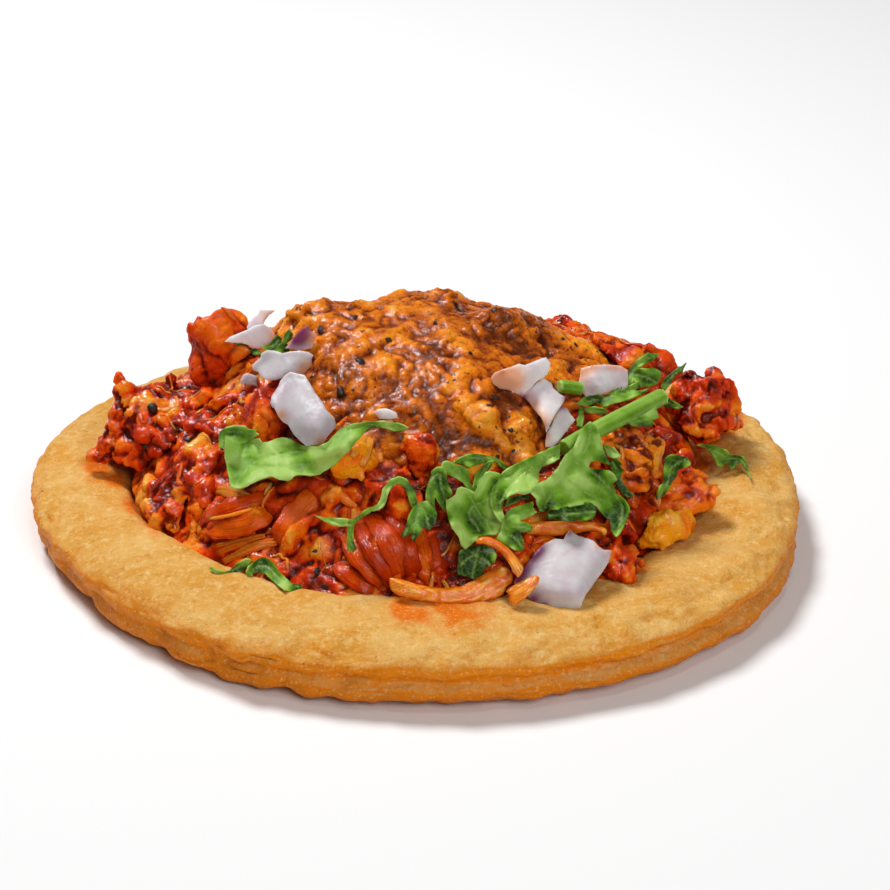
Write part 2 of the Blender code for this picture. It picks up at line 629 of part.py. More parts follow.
ribbon("cilantro_curled_leaf", [
    (24.6, -21.6), (23.0, -24.0), (21.6, -26.6), (22.6, -29.4), (26.6, -32.4),
], [0.8, 2.4, 4.8, 5.2, 2.4], LEAF, along=10, across=4, lift=0.8, cup=-0.3)
ribbon("cilantro_front_leaf", [
    (-28.4, -33.8), (-24.4, -33.8), (-20.8, -33.8), (-17.4, -35.6), (-14.2, -38.2),
], [0.3, 0.5, 1.4, 1.5, 0.5], LEAF, along=9)


# Small shreds and crumbs of rind that are part of the heap. They stand half out of its
# bare form, wherever no larger piece lies, and are joined to it as one solid.
FRONT_SHREDS = [  # middle, length, heading in degrees and bend of those that show at the front
    ((-24.8, -29.2), 6.0, -12, 0.8), ((-21.4, -31.6), 6.4, 4, 0.9), ((-14.4, -30.4), 8.0, 42, -0.8),
    ((-16.6, -29.8), 8.0, 34, 0.7), ((-17.4, -34.0), 5.0, 30, 0.5), ((-5.6, -37.4), 6.0, -30, 0.9),
    ((-25.6, -24.6), 4.6, 10, 0.5), ((-10.4, -28.6), 5.0, 70, 0.5),
]
CRUMBS = 38
CRUMB_TRIES = 1200
CRUMB_SPACING = 3.4
CRUMB_REACH = 37.5
FINE_FROM = 2.9  # shreds with a longer half than this are given more faces
CRUMB_LUMPS = 0.35  # how far a crumb's surface wanders, and the inverse of how wide its lumps are
CRUMB_GRAIN = 0.6


def crumb(x, y, sides, heading, bend):
    """A lump or a bent shred of rind, sunk by half in the heap's surface."""
    shape = bmesh.new()
    bmesh.ops.create_icosphere(shape, subdivisions=2 if sides[0] > FINE_FROM else 1, radius=1.0)
    turn = Matrix.Rotation(math.radians(heading), 3, "Z")
    seat = slope_at(x, y, 1.5).to_track_quat("Z", "Y").to_matrix() @ turn
    for vert in shape.verts:
        stretched = Vector(vert.co[axis] * sides[axis] for axis in range(3))
        stretched.y += bend * (stretched.x / sides[0]) ** 2
        stretched += CRUMB_LUMPS * noise.noise_vector(stretched * CRUMB_GRAIN + Vector((x, y, 0)))
        vert.co = seat @ stretched + Vector((x, y, heap_height(x, y) + 0.1))
    return shape


def crumbs_to_try():
    """The shreds that are given first, and then lumps and shreds strewn by chance."""
    for (x, y), length, heading, bend in FRONT_SHREDS:
        yield x, y, (length / 2, 1.1, 1.8), heading, bend
    draw = random.Random(7)
    for _ in range(CRUMB_TRIES):
        reach, turn = math.sqrt(draw.random()) * CRUMB_REACH, draw.uniform(0, math.tau)
        x, y = HEAP_MIDDLE[0] + reach * math.cos(turn), HEAP_MIDDLE[1] + reach * math.sin(turn)
        lump = (draw.uniform(1.6, 2.6), draw.uniform(1.4, 2.0), draw.uniform(1.5, 2.2))
        shred = (draw.uniform(2.4, 3.6), draw.uniform(0.9, 1.2), draw.uniform(1.3, 1.8))
        yield x, y, draw.choice((lump, shred)), draw.uniform(0, 360), draw.uniform(-0.6, 0.6)


others = [surface for name, surface in placed.items() if name != "filling"]
crumbs = bpy.data.collections.new("crumbs")
bpy.context.scene.collection.children.link(crumbs)
spots = []
for x, y, sides, heading, bend in crumbs_to_try():
    if len(spots) == CRUMBS:
        break
    if any(math.hypot(x - p, y - q) < CRUMB_SPACING for p, q in spots if len(spots) > len(FRONT_SHREDS)):
        continue
    shape = crumb(x, y, sides, heading, bend)
    surface = BVHTree.FromBMesh(grown(shape, 2 * GAP))
    covered = highest_below(x, y) > heap_height(x, y) + 0.8
    if covered or any(surface.overlap(other) for other in others):
        continue
    spots.append((x, y))
    piece = object_of("crumb", shape, STEW)
    bpy.context.scene.collection.objects.unlink(piece)
    crumbs.objects.link(piece)

filling = object_of("filling", heap, STEW)
join = filling.modifiers.new("join_crumbs", "BOOLEAN")
join.operation = "UNION"
join.solver = "EXACT"
join.operand_type = "COLLECTION"
join.collection = crumbs
with bpy.context.temp_override(object=filling, active_object=filling):
    bpy.ops.object.modifier_apply(modifier=join.name)
for piece in list(crumbs.objects):
    bpy.data.objects.remove(piece, do_unlink=True)
bpy.data.collections.remove(crumbs)

for piece in bpy.data.objects:
    piece.data.transform(Matrix.Scale(METRES, 4))
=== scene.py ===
import math
import random

import bmesh
import bpy
import numpy as np
from mathutils import Matrix, Vector, geometry, kdtree, noise
from mathutils.bvhtree import BVHTree


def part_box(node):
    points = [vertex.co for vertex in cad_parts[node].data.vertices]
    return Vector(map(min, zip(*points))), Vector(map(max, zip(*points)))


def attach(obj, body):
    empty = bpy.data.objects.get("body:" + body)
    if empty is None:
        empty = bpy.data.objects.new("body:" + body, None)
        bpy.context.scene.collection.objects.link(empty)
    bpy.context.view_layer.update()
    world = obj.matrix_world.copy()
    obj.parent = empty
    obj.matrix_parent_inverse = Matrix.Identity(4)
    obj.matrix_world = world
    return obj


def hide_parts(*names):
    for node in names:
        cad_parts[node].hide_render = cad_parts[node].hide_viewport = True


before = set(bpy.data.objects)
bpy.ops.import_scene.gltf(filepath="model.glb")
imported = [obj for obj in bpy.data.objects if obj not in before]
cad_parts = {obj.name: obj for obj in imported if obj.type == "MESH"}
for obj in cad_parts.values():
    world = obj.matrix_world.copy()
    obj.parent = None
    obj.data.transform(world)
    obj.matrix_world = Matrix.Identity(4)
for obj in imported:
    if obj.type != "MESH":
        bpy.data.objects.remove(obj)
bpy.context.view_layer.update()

# The round of dough.
# Maize dough pressed by hand to a thick disc, fried, and pinched up into a rim while hot.
# Its top is pale and mottled, its edge browned and orange where the oil reached it.
MM = 0.001
DOUGH_TOP = (0.80, 0.47, 0.135)
DOUGH_TOASTED = (0.72, 0.33, 0.045)
DOUGH_PALE = (0.88, 0.60, 0.24)
DOUGH_SIDE = (0.82, 0.235, 0.002)
DOUGH_LOW_SIDE = (0.56, 0.115, 0.001)
DOUGH_CRUMB = (0.92, 0.66, 0.30)
DOUGH_BURNT = (0.20, 0.07, 0.02)
CHILE_OIL = (0.78, 0.17, 0.003)
OIL_SPOTS = [  # as seen from the front: right, up, how wide, how strong
    (0.6, -24.2, 3.0, 0.9), (-2.6, -25.4, 2.0, 0.6), (5.4, -25.2, 3.2, 0.8), (10.0, -25.6, 2.6, 0.6),
    (-48.4, -3.4, 2.0, 1.2), (-45.6, -5.6, 1.5, 0.9), (-43.4, -9.4, 1.2, 0.7), (-40.0, -13.4, 1.2, 0.6),
    (47.8, 4.4, 2.4, 1.2), (45.2, 1.2, 2.0, 1.0), (43.6, -2.4, 1.8, 0.9), (42.6, -9.0, 1.4, 0.6),
    (34.0, -18.6, 1.6, 0.7), (27.0, -22.6, 1.4, 0.5),
]
RIM_REACH, LIP_REACH = 53.0, 42.0  # from the middle to the rim and to the lip inside it
LIP_TURNS = (195, 211, 222, 235, 243, 253, 263, 273, 283, 300)  # degrees round from the right
LIP_SWELLS = (0.0, 0.9, 0.9, 1.3, 1.3, 1.35, 1.4, 1.1, 0.7, 0.0)  # how far the lip bulges in there
LOOKING_DOWN = math.radians(25.83)
SHEET_MIDDLE = Vector((4.57, 23.8, 0.0))
SHEET_UP = Vector((0, math.sin(LOOKING_DOWN), math.cos(LOOKING_DOWN)))
TO_THE_FRONT = Vector((0, -math.cos(LOOKING_DOWN), math.sin(LOOKING_DOWN)))
EYE_DISTANCE = 400.0
FRONT_EYE = SHEET_MIDDLE + TO_THE_FRONT * EYE_DISTANCE


def pick_only(piece):
    bpy.ops.object.select_all(action="DESELECT")
    piece.select_set(True)
    bpy.context.view_layer.objects.active = piece


def work(piece, kind, **settings):
    """Adds a modifier to a piece and applies it."""
    pick_only(piece)
    modifier = piece.modifiers.new(kind.lower(), kind)
    for setting, value in settings.items():
        setattr(modifier, setting, value)
    bpy.ops.object.modifier_apply(modifier=modifier.name)


def edit(piece, *steps):
    """Runs edit-mode operators on all of a piece, each given as (operator, settings)."""
    pick_only(piece)
    bpy.ops.object.mode_set(mode="EDIT")
    bpy.ops.mesh.select_all(action="SELECT")
    for operator, settings in steps:
        operator(**settings)
    bpy.ops.object.mode_set(mode="OBJECT")


def copy_of(node, name):
    """A closed copy of a solid of the frame, with its loose triangles merged."""
    piece = bpy.data.objects.new(name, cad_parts[node].data.copy())
    bpy.context.scene.collection.objects.link(piece)
    piece.data.materials.clear()
    pick_only(piece)
    bpy.ops.mesh.customdata_custom_splitnormals_clear()
    edit(piece, (bpy.ops.mesh.remove_doubles, {"threshold": 0.002 * MM}))
    return piece


def move_points(piece, change):
    """Moves each point by change(place, normal), both ways in millimetres."""
    mesh = piece.data
    normals = [Vector(item.vector) for item in mesh.vertex_normals]
    for vert, normal in zip(mesh.vertices, normals):
        vert.co += change(vert.co / MM, normal) * MM
    mesh.update()


def lumps(place, size, seed=0.0):
    """Soft noise from about -1 to 1, with lumps about as wide as size in millimetres."""
    return noise.noise(place / size + Vector((seed, seed * 1.7, -seed)))


def held(value):
    """A number held to the range 0 to 1."""
    return min(1.0, max(0.0, value))


def sight(u, v):
    """The direction from the eye in front to a point of an upright sheet, right and up on it."""
    return (SHEET_MIDDLE + Vector((u - SHEET_MIDDLE.x, 0, 0)) + SHEET_UP * v - FRONT_EYE).normalized()


def spots_on(piece, spots):
    """For each point of a piece, how much the spots, seen from the front, lie on it.

    A spot is its place right and up, how wide it is and, if it isn't 1, its strength.
    """
    away = np.array([vert.co for vert in piece.data.vertices]) / MM - np.array(FRONT_EYE)
    nearer = EYE_DISTANCE / -(away @ np.array(TO_THE_FRONT))
    right, up = SHEET_MIDDLE.x + away[:, 0] * nearer, (away @ np.array(SHEET_UP)) * nearer
    total = np.zeros(len(away))
    for u, v, size, *strength in spots:
        total += (strength or [1.0])[0] * np.exp(-((right - u) ** 2 + (up - v) ** 2) / size**2)
    return total


def marked(piece, name, values):
    """Keeps a number for each point of a piece as an attribute."""
    mark = piece.data.attributes.new(name, "FLOAT", "POINT")
    mark.data.foreach_set("value", np.array(values, dtype=np.float32))


def finish_of(name, **sockets):
    """A new material, with constant values set on its shader's own sockets."""
    look = bpy.data.materials.new(name)
    look.use_nodes = True
    shader = look.node_tree.nodes["Principled BSDF"]
    for socket, value in sockets.items():
        shader.inputs[socket.replace("_", " ")].default_value = value
    return look


def node_in(look, kind, **settings):
    node = look.node_tree.nodes.new(kind)
    for setting, value in settings.items():
        setattr(node, setting, value)
    return node


def join_up(look, source, target):
    look.node_tree.links.new(source, target)


def pattern(look, kind, size, **settings):
    """A texture in the piece itself, with lumps or cells about as wide as size in millimetres."""
    coords = node_in(look, "ShaderNodeTexCoord")
    mapping = node_in(look, "ShaderNodeMapping")
    mapping.inputs["Scale"].default_value = [1.0 / (size * MM)] * 3
    join_up(look, coords.outputs["Object"], mapping.inputs["Vector"])
    texture = node_in(look, kind, **settings)
    texture.inputs["Scale"].default_value = 1.0
    join_up(look, mapping.outputs["Vector"], texture.inputs["Vector"])
    return texture


def grain(look, size, detail=3.0, rough=0.5, warp=0.0):
    """The height, 0 to 1, of a noise whose lumps are about as wide as size in millimetres."""
    texture = pattern(look, "ShaderNodeTexNoise", size)
    texture.inputs["Detail"].default_value = detail
    texture.inputs["Roughness"].default_value = rough
    texture.inputs["Distortion"].default_value = warp
    return texture.outputs["Fac"]


def ramp(look, source, *stops):
    """Colours or greys along a value: stops are (value, colour or grey)."""
    node = node_in(look, "ShaderNodeValToRGB")
    edges = node.color_ramp.elements
    while len(edges) < len(stops):
        edges.new(0.5)
    for edge, (value, colour) in zip(edges, stops):
        edge.position = value
        edge.color = (*colour, 1.0) if isinstance(colour, tuple) else (colour, colour, colour, 1.0)
    join_up(look, source, node.inputs["Fac"])
    return node.outputs["Color"]


def mixed(look, share, one, other, mode="MIX"):
    """Two colours, each a socket or a constant, mixed by a share that is a socket or a number."""
    node = node_in(look, "ShaderNodeMix", data_type="RGBA", blend_type=mode)
    for slot, value in (("Factor", share), ("A", one), ("B", other)):
        socket = [s for s in node.inputs if s.name == slot and s.enabled][0]
        if isinstance(value, bpy.types.NodeSocket):
            join_up(look, value, socket)
        elif slot == "Factor":
            socket.default_value = value
        else:
            socket.default_value = (*value, 1.0)
    return [s for s in node.outputs if s.enabled][0]


def weaker(look, share, value):
    """A share of a value."""
    return mixed(look, share, (0, 0, 0), value)


def attribute(look, name):
    return node_in(look, "ShaderNodeAttribute", attribute_name=name).outputs["Fac"]


def colour_and_relief(look, colour, roughness=None, reliefs=(), wet_skin=()):
    """Connects a finish: its colour, its roughness, and its reliefs as (height, millimetres).

    The wet skin is the relief of the thin coat of sauce that lies over it.
    """
    shader = look.node_tree.nodes["Principled BSDF"]
    join_up(look, colour, shader.inputs["Base Color"])
    if roughness:
        join_up(look, roughness, shader.inputs["Roughness"])
    for socket, layers in (("Normal", reliefs), ("Coat Normal", wet_skin or reliefs)):
        normal = None
        for height, depth in layers:
            bump = node_in(look, "ShaderNodeBump")
            bump.inputs["Strength"].default_value = 1.0
            bump.inputs["Distance"].default_value = depth * MM
            join_up(look, height, bump.inputs["Height"])
            if normal:
                join_up(look, normal, bump.inputs["Normal"])
            normal = bump.outputs["Normal"]
        if normal:
            join_up(look, normal, shader.inputs[socket])


def own_part(look, axis, kind="Object"):
    """One coordinate of the place or the normal: X, Y or Z, in metres or from -1 to 1."""
    if kind == "Normal":
        source = node_in(look, "ShaderNodeNewGeometry").outputs["Normal"]
    else:
        source = node_in(look, "ShaderNodeTexCoord").outputs["Object"]
    parts = node_in(look, "ShaderNodeSeparateXYZ")
    join_up(look, source, parts.inputs["Vector"])
    return parts.outputs[axis]


def between(look, value, low, high):
    """A value scaled so that low gives 0 and high gives 1, held to that range."""
    node = node_in(look, "ShaderNodeMapRange")
    node.inputs["From Min"].default_value = low
    node.inputs["From Max"].default_value = high
    join_up(look, value, node.inputs["Value"])
    return node.outputs["Result"]


def place_on_root(piece, look, slot, *nodes, crisp=False):
    """Gives a finished piece its material, its body and the solids that it replaces. The slot is not used."""
    piece.data.materials.append(look)
    pick_only(piece)
    if crisp:
        bpy.ops.object.shade_smooth_by_angle(angle=math.radians(48))
    else:
        bpy.ops.object.shade_smooth()
    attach(piece, "root")
    if nodes:
        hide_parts(*nodes)
    return piece


dough = copy_of("sope_base", "dough_round")
edit(dough, (bpy.ops.mesh.tris_convert_to_quads, {"face_threshold": 1.2, "shape_threshold": 1.2}))
work(dough, "SUBSURF", levels=3, render_levels=3)


def hand_worked(place, normal):
    """Finger dents, swells, and the short cracks and grain of fried maize."""
    out = 0.50 * lumps(place, 11.0, 1.0) + 0.42 * lumps(place, 4.5, 2.0) + 0.14 * lumps(place, 1.7, 3.0)
    out += 0.13 * lumps(place, 0.85, 7.0)
    edge = max(0.0, 1.0 - abs(math.hypot(place.x, place.y) - RIM_REACH) / 4.0)
    out += edge * (0.9 * lumps(place, 3.6, 11.0) - 0.5 * max(0.0, abs(lumps(place, 6.0, 12.0)) * -4.0 + 0.5))
    side = 1.0 - min(1.0, abs(normal.z) * 1.6)
    flat = Vector((place.x, place.y, place.z * 3.5))
    crack = 1.0 - abs(lumps(flat, 5.0, 4.0))
    out -= side * 0.9 * max(0.0, crack - 0.80) / 0.20 * max(0.0, 0.35 + lumps(place, 9.0, 5.0))
    if place.z < 0.6:
        out *= max(0.0, place.z) / 0.6
    return normal * out


move_points(dough, hand_worked)
for vert in dough.data.vertices:
    inward = -Vector((vert.co.x, vert.co.y, 0)).normalized()
    swell = np.interp(math.degrees(math.atan2(vert.co.y, vert.co.x)) % 360, LIP_TURNS, LIP_SWELLS)
    near_lip = math.exp(-(((math.hypot(vert.co.x, vert.co.y) / MM - LIP_REACH) / 4.0) ** 2))
    near_lip *= held((vert.co.z / MM - 4.5) / 2.5)
    vert.co += (Vector((0, 0, 1.0)) + inward * 1.5) * (float(swell) * near_lip * MM)
oil = spots_on(dough, OIL_SPOTS)
filling = BVHTree.FromObject(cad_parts["filling"], bpy.context.evaluated_depsgraph_get())
for number, vert in enumerate(dough.data.vertices):
    reach = filling.find_nearest(vert.co, 8 * MM)[3]
    reach = 8.0 if reach is None else reach / MM
    patch = 0.5 + 1.2 * lumps(vert.co / MM, 7.0, 9.0)
    ragged = held(vert.co.z / MM - 6.0) * (1.0 + 1.1 * lumps(vert.co / MM, 2.2, 6.0))
    oil[number] = held(oil[number] * ragged + 0.8 * patch * math.exp(-((reach / 1.6) ** 2)))
marked(dough, "oil", oil)

fried = finish_of("fried_maize", Roughness=0.52, Subsurface_Weight=0.08, Subsurface_Scale=0.0008,
                  Subsurface_Radius=(1.0, 0.45, 0.15), Specular_IOR_Level=0.16,
                  Specular_Tint=(1.0, 0.80, 0.50, 1.0))
toast = ramp(fried, grain(fried, 6.0, 5.0, 0.62, warp=0.6), (0.38, 0.0), (0.62, 1.0))
mottle = mixed(fried, toast, DOUGH_TOP, DOUGH_TOASTED)
flecks = ramp(fried, grain(fried, 1.1, 4.0, 0.65), (0.50, 0.0), (0.74, 0.9))
mottle = mixed(fried, flecks, mottle, DOUGH_PALE)
facing_up = between(fried, own_part(fried, "Z", "Normal"), 0.30, 0.95)
uneven = mixed(fried, 0.25, facing_up, grain(fried, 2.6, 4.0, 0.6), "LINEAR_LIGHT")
skin = mixed(fried, uneven, DOUGH_SIDE, mottle)
# The side is darker towards the bottom.
low = between(fried, own_part(fried, "Z"), 5.0 * MM, 1.0 * MM)
skin = mixed(fried, weaker(fried, 0.45, low), skin, DOUGH_LOW_SIDE)
pits = ramp(fried, grain(fried, 0.9, 3.0, 0.6), (0.28, 1.0), (0.40, 0.0))
skin = mixed(fried, weaker(fried, 0.5, pits), skin, DOUGH_TOASTED, "MULTIPLY")
soaking = mixed(fried, 0.30, attribute(fried, "oil"), grain(fried, 1.6, 4.0, 0.6), "LINEAR_LIGHT")
skin = mixed(fried, between(fried, soaking, 0.12, 0.85), skin, CHILE_OIL)
crumbs = ramp(fried, grain(fried, 0.42, 2.0, 0.5), (0.56, 0.0), (0.72, 0.42))
skin = mixed(fried, crumbs, skin, DOUGH_CRUMB)
burnt = ramp(fried, grain(fried, 0.8, 2.0, 0.5), (0.20, 1.0), (0.235, 0.0))
skin = mixed(fried, burnt, skin, DOUGH_BURNT)
colour_and_relief(fried, skin, None, [
    (grain(fried, 0.45, 4.0, 0.7), 0.30), (grain(fried, 1.5, 3.0, 0.55), 0.26),
])
place_on_root(dough, fried, "fried_dough", "sope_base")

# The stewed filling.
# Pork rind torn small and stewed in red chile sauce until it is soft. It is one wet heap of
# lumps, pressed into the hollow and cemented by its own thick sauce and orange oil.
DEEP_RED = (0.30, 0.018, 0.001)
CHILE_RED = (0.50, 0.021, 0.001)
RED_ORANGE = (0.75, 0.064, 0.001)
BRIGHT_ORANGE = (0.88, 0.165, 0.003)
YELLOW_FAT = (0.90, 0.42, 0.05)
CHILE_SPECK = (0.06, 0.012, 0.006)
# The colour that creases and hollows are multiplied by: painted shade, and partly the dark sauce that gathers
# there.
CREASE_SHADE = (0.26, 0.14, 0.10)
HEAP_MIDDLE = Vector((1.0, 0.0, 0.0))
HEAP_REACH = 38.8
HEAP_LUMPS = 640
HEAP_CELL = 0.42  # how wide the faces of its skin are
# Partly the stew's own tones and partly painted shade: the darker spots in the gaps between the pieces are
# painted shade.
STEW_TONES_AND_SHADE = [  # as seen from the front: right, up, how wide, how much lighter (above 0) or darker
    (-14.8, -17.9, 3.2, 0.45), (-1.0, -15.5, 1.8, 0.5), (-40.0, -4.0, 2.6, -0.45), (-36.6, 0.8, 2.4, -0.5),
    (-45.0, 1.0, 2.0, 0.4), (-41.0, 7.5, 2.2, 0.35), (-33.0, 4.0, 2.6, 0.4), (-23.4, -8.7, 1.6, -0.9),
    (-25.0, -16.2, 1.8, -0.6), (-9.6, -5.2, 2.8, -0.55), (-13.0, -3.6, 2.4, -0.5), (-5.0, -4.0, 2.0, -0.5),
    (-19.0, -9.0, 2.4, -0.4), (26.0, -5.0, 3.0, -0.5), (29.0, -1.6, 3.0, 0.15), (23.5, -16.0, 2.4, -0.6),
    (31.5, -1.5, 3.0, -0.3), (40.0, -8.0, 2.2, 0.4), (42.0, 5.0, 2.6, 0.6), (46.0, 2.0, 2.0, -0.4),
    (33.5, 4.0, 2.2, -0.5), (12.5, -17.5, 2.0, -0.7), (9.5, -20.4, 2.0, -0.4), (-20.0, -20.0, 2.0, 0.3),
    (-8.0, -21.0, 2.6, 0.25), (-30.5, -5.5, 2.0, -0.6), (-31.0, 10.0, 2.6, -0.6), (-29.4, 17.4, 3.0, 0.8),
    (-28.6, 14.0, 2.2, 0.4), (46.0, 7.0, 3.0, 0.5), (-39.0, -9.0, 3.0, 0.5), (-34.5, -12.0, 3.4, 0.35),
    (-30.2, -1.0, 1.6, -0.5), (22.0, -22.0, 2.0, 0.3), (31.0, -19.0, 2.2, 0.35), (27.5, -17.5, 1.6, -0.5),
    (-32.0, 15.0, 3.0, 0.3),
]


def surface_of(*pieces):
    """One surface for finding what lies under or over a point."""
    corners, faces = [], []
    for piece in pieces:
        first = len(corners)
        corners += [vert.co / MM for vert in piece.data.vertices]
        faces += [[first + corner for corner in face.vertices] for face in piece.data.polygons]
    return BVHTree.FromPolygons(corners, faces)


def topmost(surface, x, y):
    """The highest point of a surface over (x, y) and its normal, or (None, None)."""
    return surface.ray_cast(Vector((x, y, 80.0)), Vector((0, 0, -1)))[:2]


def lying_on(normal, draw):
    """The turn of a lump that lies flat on a surface, any way round."""
    return normal.to_track_quat("Z", "Y").to_matrix() @ Matrix.Rotation(draw.uniform(0, math.tau), 3, "Z")


def lump_at(place, normal, radius, draw):
    """A lump lying on a surface: its place, its three reaches, its turn and its tint."""
    lying = lying_on(normal, draw)
    reaches = Vector(radius * draw.uniform(*range_of) for range_of in ((1.0, 1.7), (0.7, 1.0), (0.5, 0.8)))
    return place - normal * (0.25 * radius), reaches, lying, draw.random()


def lumps_over(surface, count, sizes, draw):
    """Lumps scattered evenly over the top of the heap."""
    found = []
    while len(found) < count:
        reach, turn = HEAP_REACH * math.sqrt(draw.random()), draw.uniform(0.0, math.tau)
        place, normal = topmost(surface, HEAP_MIDDLE.x + reach * math.cos(turn), reach * math.sin(turn))
        if place is not None:
            found.append(lump_at(place, normal, draw.triangular(*sizes), draw))
    return found


def fused(piece, added, cell, smoothing):
    """Grows lumps out of a piece and rebuilds it as one skin of even faces, cell millimetres wide.

    Each point takes the tint of the lump nearest to it.
    """
    shape = bmesh.new()
    shape.from_mesh(piece.data)
    for place, reaches, lying, _ in added:
        ball = bmesh.ops.create_icosphere(shape, subdivisions=2, radius=1.0)["verts"]
        for vert in ball:
            knob = vert.co * (1.0 + 0.35 * noise.noise(vert.co * 1.4 + place))
            knob = Vector(side * reach for side, reach in zip(knob, reaches))
            vert.co = (place + lying @ knob) * MM
    shape.to_mesh(piece.data)
    shape.free()
    work(piece, "REMESH", mode="VOXEL", voxel_size=cell * MM, adaptivity=0.0)
    work(piece, "SMOOTH", factor=0.5, iterations=smoothing)
    spots = kdtree.KDTree(len(added))
    for number, (place, _, _, _) in enumerate(added):
        spots.insert(place, number)
    spots.balance()
    tints = []
    for vert in piece.data.vertices:
        found = spots.find_n(vert.co / MM, 2)
        pulls = [1.0 / (0.1 + away) ** 3 for _, _, away in found]
        tints.append(sum(added[number][3] * pull for (_, number, _), pull in zip(found, pulls)) / sum(pulls))
    # The tint also takes the stew spots, which include painted shade in the gaps.
    marked(piece, "tint", np.array(tints) + 0.42 * spots_on(piece, STEW_TONES_AND_SHADE))
    return piece


def hollows(piece, rounds=25):
    """How far under its own smoothed skin each point of a piece lies, in millimetres."""
    mesh = piece.data
    ends = np.empty(2 * len(mesh.edges), dtype=np.int32)
    mesh.edges.foreach_get("vertices", ends)
    near, far = ends[::2], ends[1::2]
    places = np.array([vert.co for vert in mesh.vertices]) / MM
    normals = np.array([item.vector for item in mesh.vertex_normals])
    count = len(places)
    joined = (np.bincount(near, minlength=count) + np.bincount(far, minlength=count))[:, None]
    soft = places
    for _ in range(rounds):
        sums = [
            np.bincount(near, soft[far, k], count) + np.bincount(far, soft[near, k], count) for k in range(3)
        ]
        soft = 0.4 * soft + 0.6 * np.stack(sums, axis=1) / joined
    return ((soft - places) * normals).sum(axis=1)


def roughen(piece, layers, seed=0.0, extra=None, crease=0.55):
    """Raises a skin by rounded lumps, as (width, height) layers in millimetres.

    How high each point came to lie is kept as the attribute crest, 0 in the creases, and it is lowered
    further in the hollows so that the finishes paint shade there.
    """
    mesh = piece.data
    most = sum(height for _, height in layers)
    crest = mesh.attributes.new("crest", "FLOAT", "POINT")
    shift = Vector((seed, -seed * 1.3, seed * 0.7))
    normals = [Vector(item.vector) for item in mesh.vertex_normals]
    for vert, normal, mark in zip(mesh.vertices, normals, crest.data):
        place = vert.co / MM
        bent = place + noise.noise_vector(place / 2.6 + shift) * 0.9
        out = sum(high * (2.6 * abs(noise.noise(bent / wide + shift)) - crease) for wide, high in layers)
        if extra:
            out += extra(place, normal)
        mark.value = 0.42 + 0.5 * out / most
        vert.co += normal * (out * MM)
    mesh.update()
    # Lower in the hollows, which the finishes paint darker: painted shade.
    for mark, hollow in zip(crest.data, hollows(piece)):
        mark.value -= 0.50 * max(0.0, hollow) + 0.10 * min(0.0, hollow)
    return piece


def wet_finish(name, stops, crease, wide=3.0, shine=0.30, coat=0.85, glow=0.22, fibres=False, peppery=0.25,
               skin=(0.38, 0.12), wettest=(0.25, 0.70)):
    """A wet, cooked finish: stops are colours along the tint, with painted light on the crests and painted
    shade in the creases.

    The sauce lies wettest on what faces up.
    """
    look = finish_of(name, Subsurface_Weight=glow, Subsurface_Scale=0.0009,
                     Subsurface_Radius=(1.0, 0.18, 0.04), Specular_IOR_Level=0.07,
                     Specular_Tint=(1.0, 0.62, 0.40, 1.0), Coat_Roughness=0.08)
    upward = between(look, own_part(look, "Z", "Normal"), *wettest)
    wetness = mixed(look, upward, [0.06 * coat] * 3, [coat] * 3)
    pools = ramp(look, grain(look, 1.7, 3.0, 0.6), (0.36, 0.25), (0.52, 1.0))
    wetness = mixed(look, 1.0, wetness, pools, "MULTIPLY")
    join_up(look, wetness, look.node_tree.nodes["Principled BSDF"].inputs["Coat Weight"])
    tone = mixed(look, 0.40, attribute(look, "tint"), grain(look, wide, 5.0, 0.62, warp=0.5))
    # The crest lightens the colour on the crests: painted light.
    tone = mixed(look, 0.32, tone, attribute(look, "crest"))
    colour = ramp(look, tone, *stops)
    # Darker in the creases and hollows: painted shade, and partly the dark sauce that gathers there.
    depth = mixed(look, 0.30, attribute(look, "crest"), grain(look, 0.9, 4.0, 0.6))
    colour = mixed(look, ramp(look, depth, (0.24, 1.0), (0.44, 0.0)), colour, crease, "MULTIPLY")
    speck = ramp(look, grain(look, 0.75, 2.0, 0.5), (peppery, 0.85), (peppery + 0.04, 0.0))
    colour = mixed(look, speck, colour, CHILE_SPECK)
    rough = ramp(look, grain(look, 1.3, 3.0, 0.6), (0.35, shine - 0.10), (0.65, shine + 0.25))
    fine, coarse = grain(look, 0.34, 2.0, 0.6), grain(look, 0.85, 3.0, 0.6)
    reliefs = [(fine, 0.15), (coarse, 0.34)]
    if fibres:
        lines = node_in(look, "ShaderNodeTexNoise", noise_dimensions="1D")
        lines.inputs["Scale"].default_value = 1.9
        join_up(look, attribute(look, "across"), lines.inputs["W"])
        reliefs = [(fine, 0.08), (lines.outputs["Fac"], 0.11)]
        # Painted shade in the furrows between the fibres.
        furrow_shade = ramp(look, lines.outputs["Fac"], (0.34, 0.30), (0.48, 0.0))
        colour = mixed(look, furrow_shade, colour, crease, "MULTIPLY")
    colour_and_relief(look, colour, rough, reliefs, [(grain(look, skin[0], 2.0, 0.55), skin[1])])
    return look


draw = random.Random(21)
noise.seed_set(21)  # without it noise_vector starts from the clock
heap = copy_of("filling", "stewed_heap")
fused(heap, lumps_over(surface_of(heap), HEAP_LUMPS, (0.6, 2.3, 1.0), draw), HEAP_CELL, 3)
roughen(heap, [(2.8, 0.42), (1.1, 0.20)], 3.0)
stew_finish = wet_finish("stewed_filling", (
    (0.33, DEEP_RED), (0.41, CHILE_RED), (0.50, RED_ORANGE), (0.60, BRIGHT_ORANGE), (0.78, YELLOW_FAT),
), CREASE_SHADE)
place_on_root(heap, stew_finish, "stewed_filling", "filling")

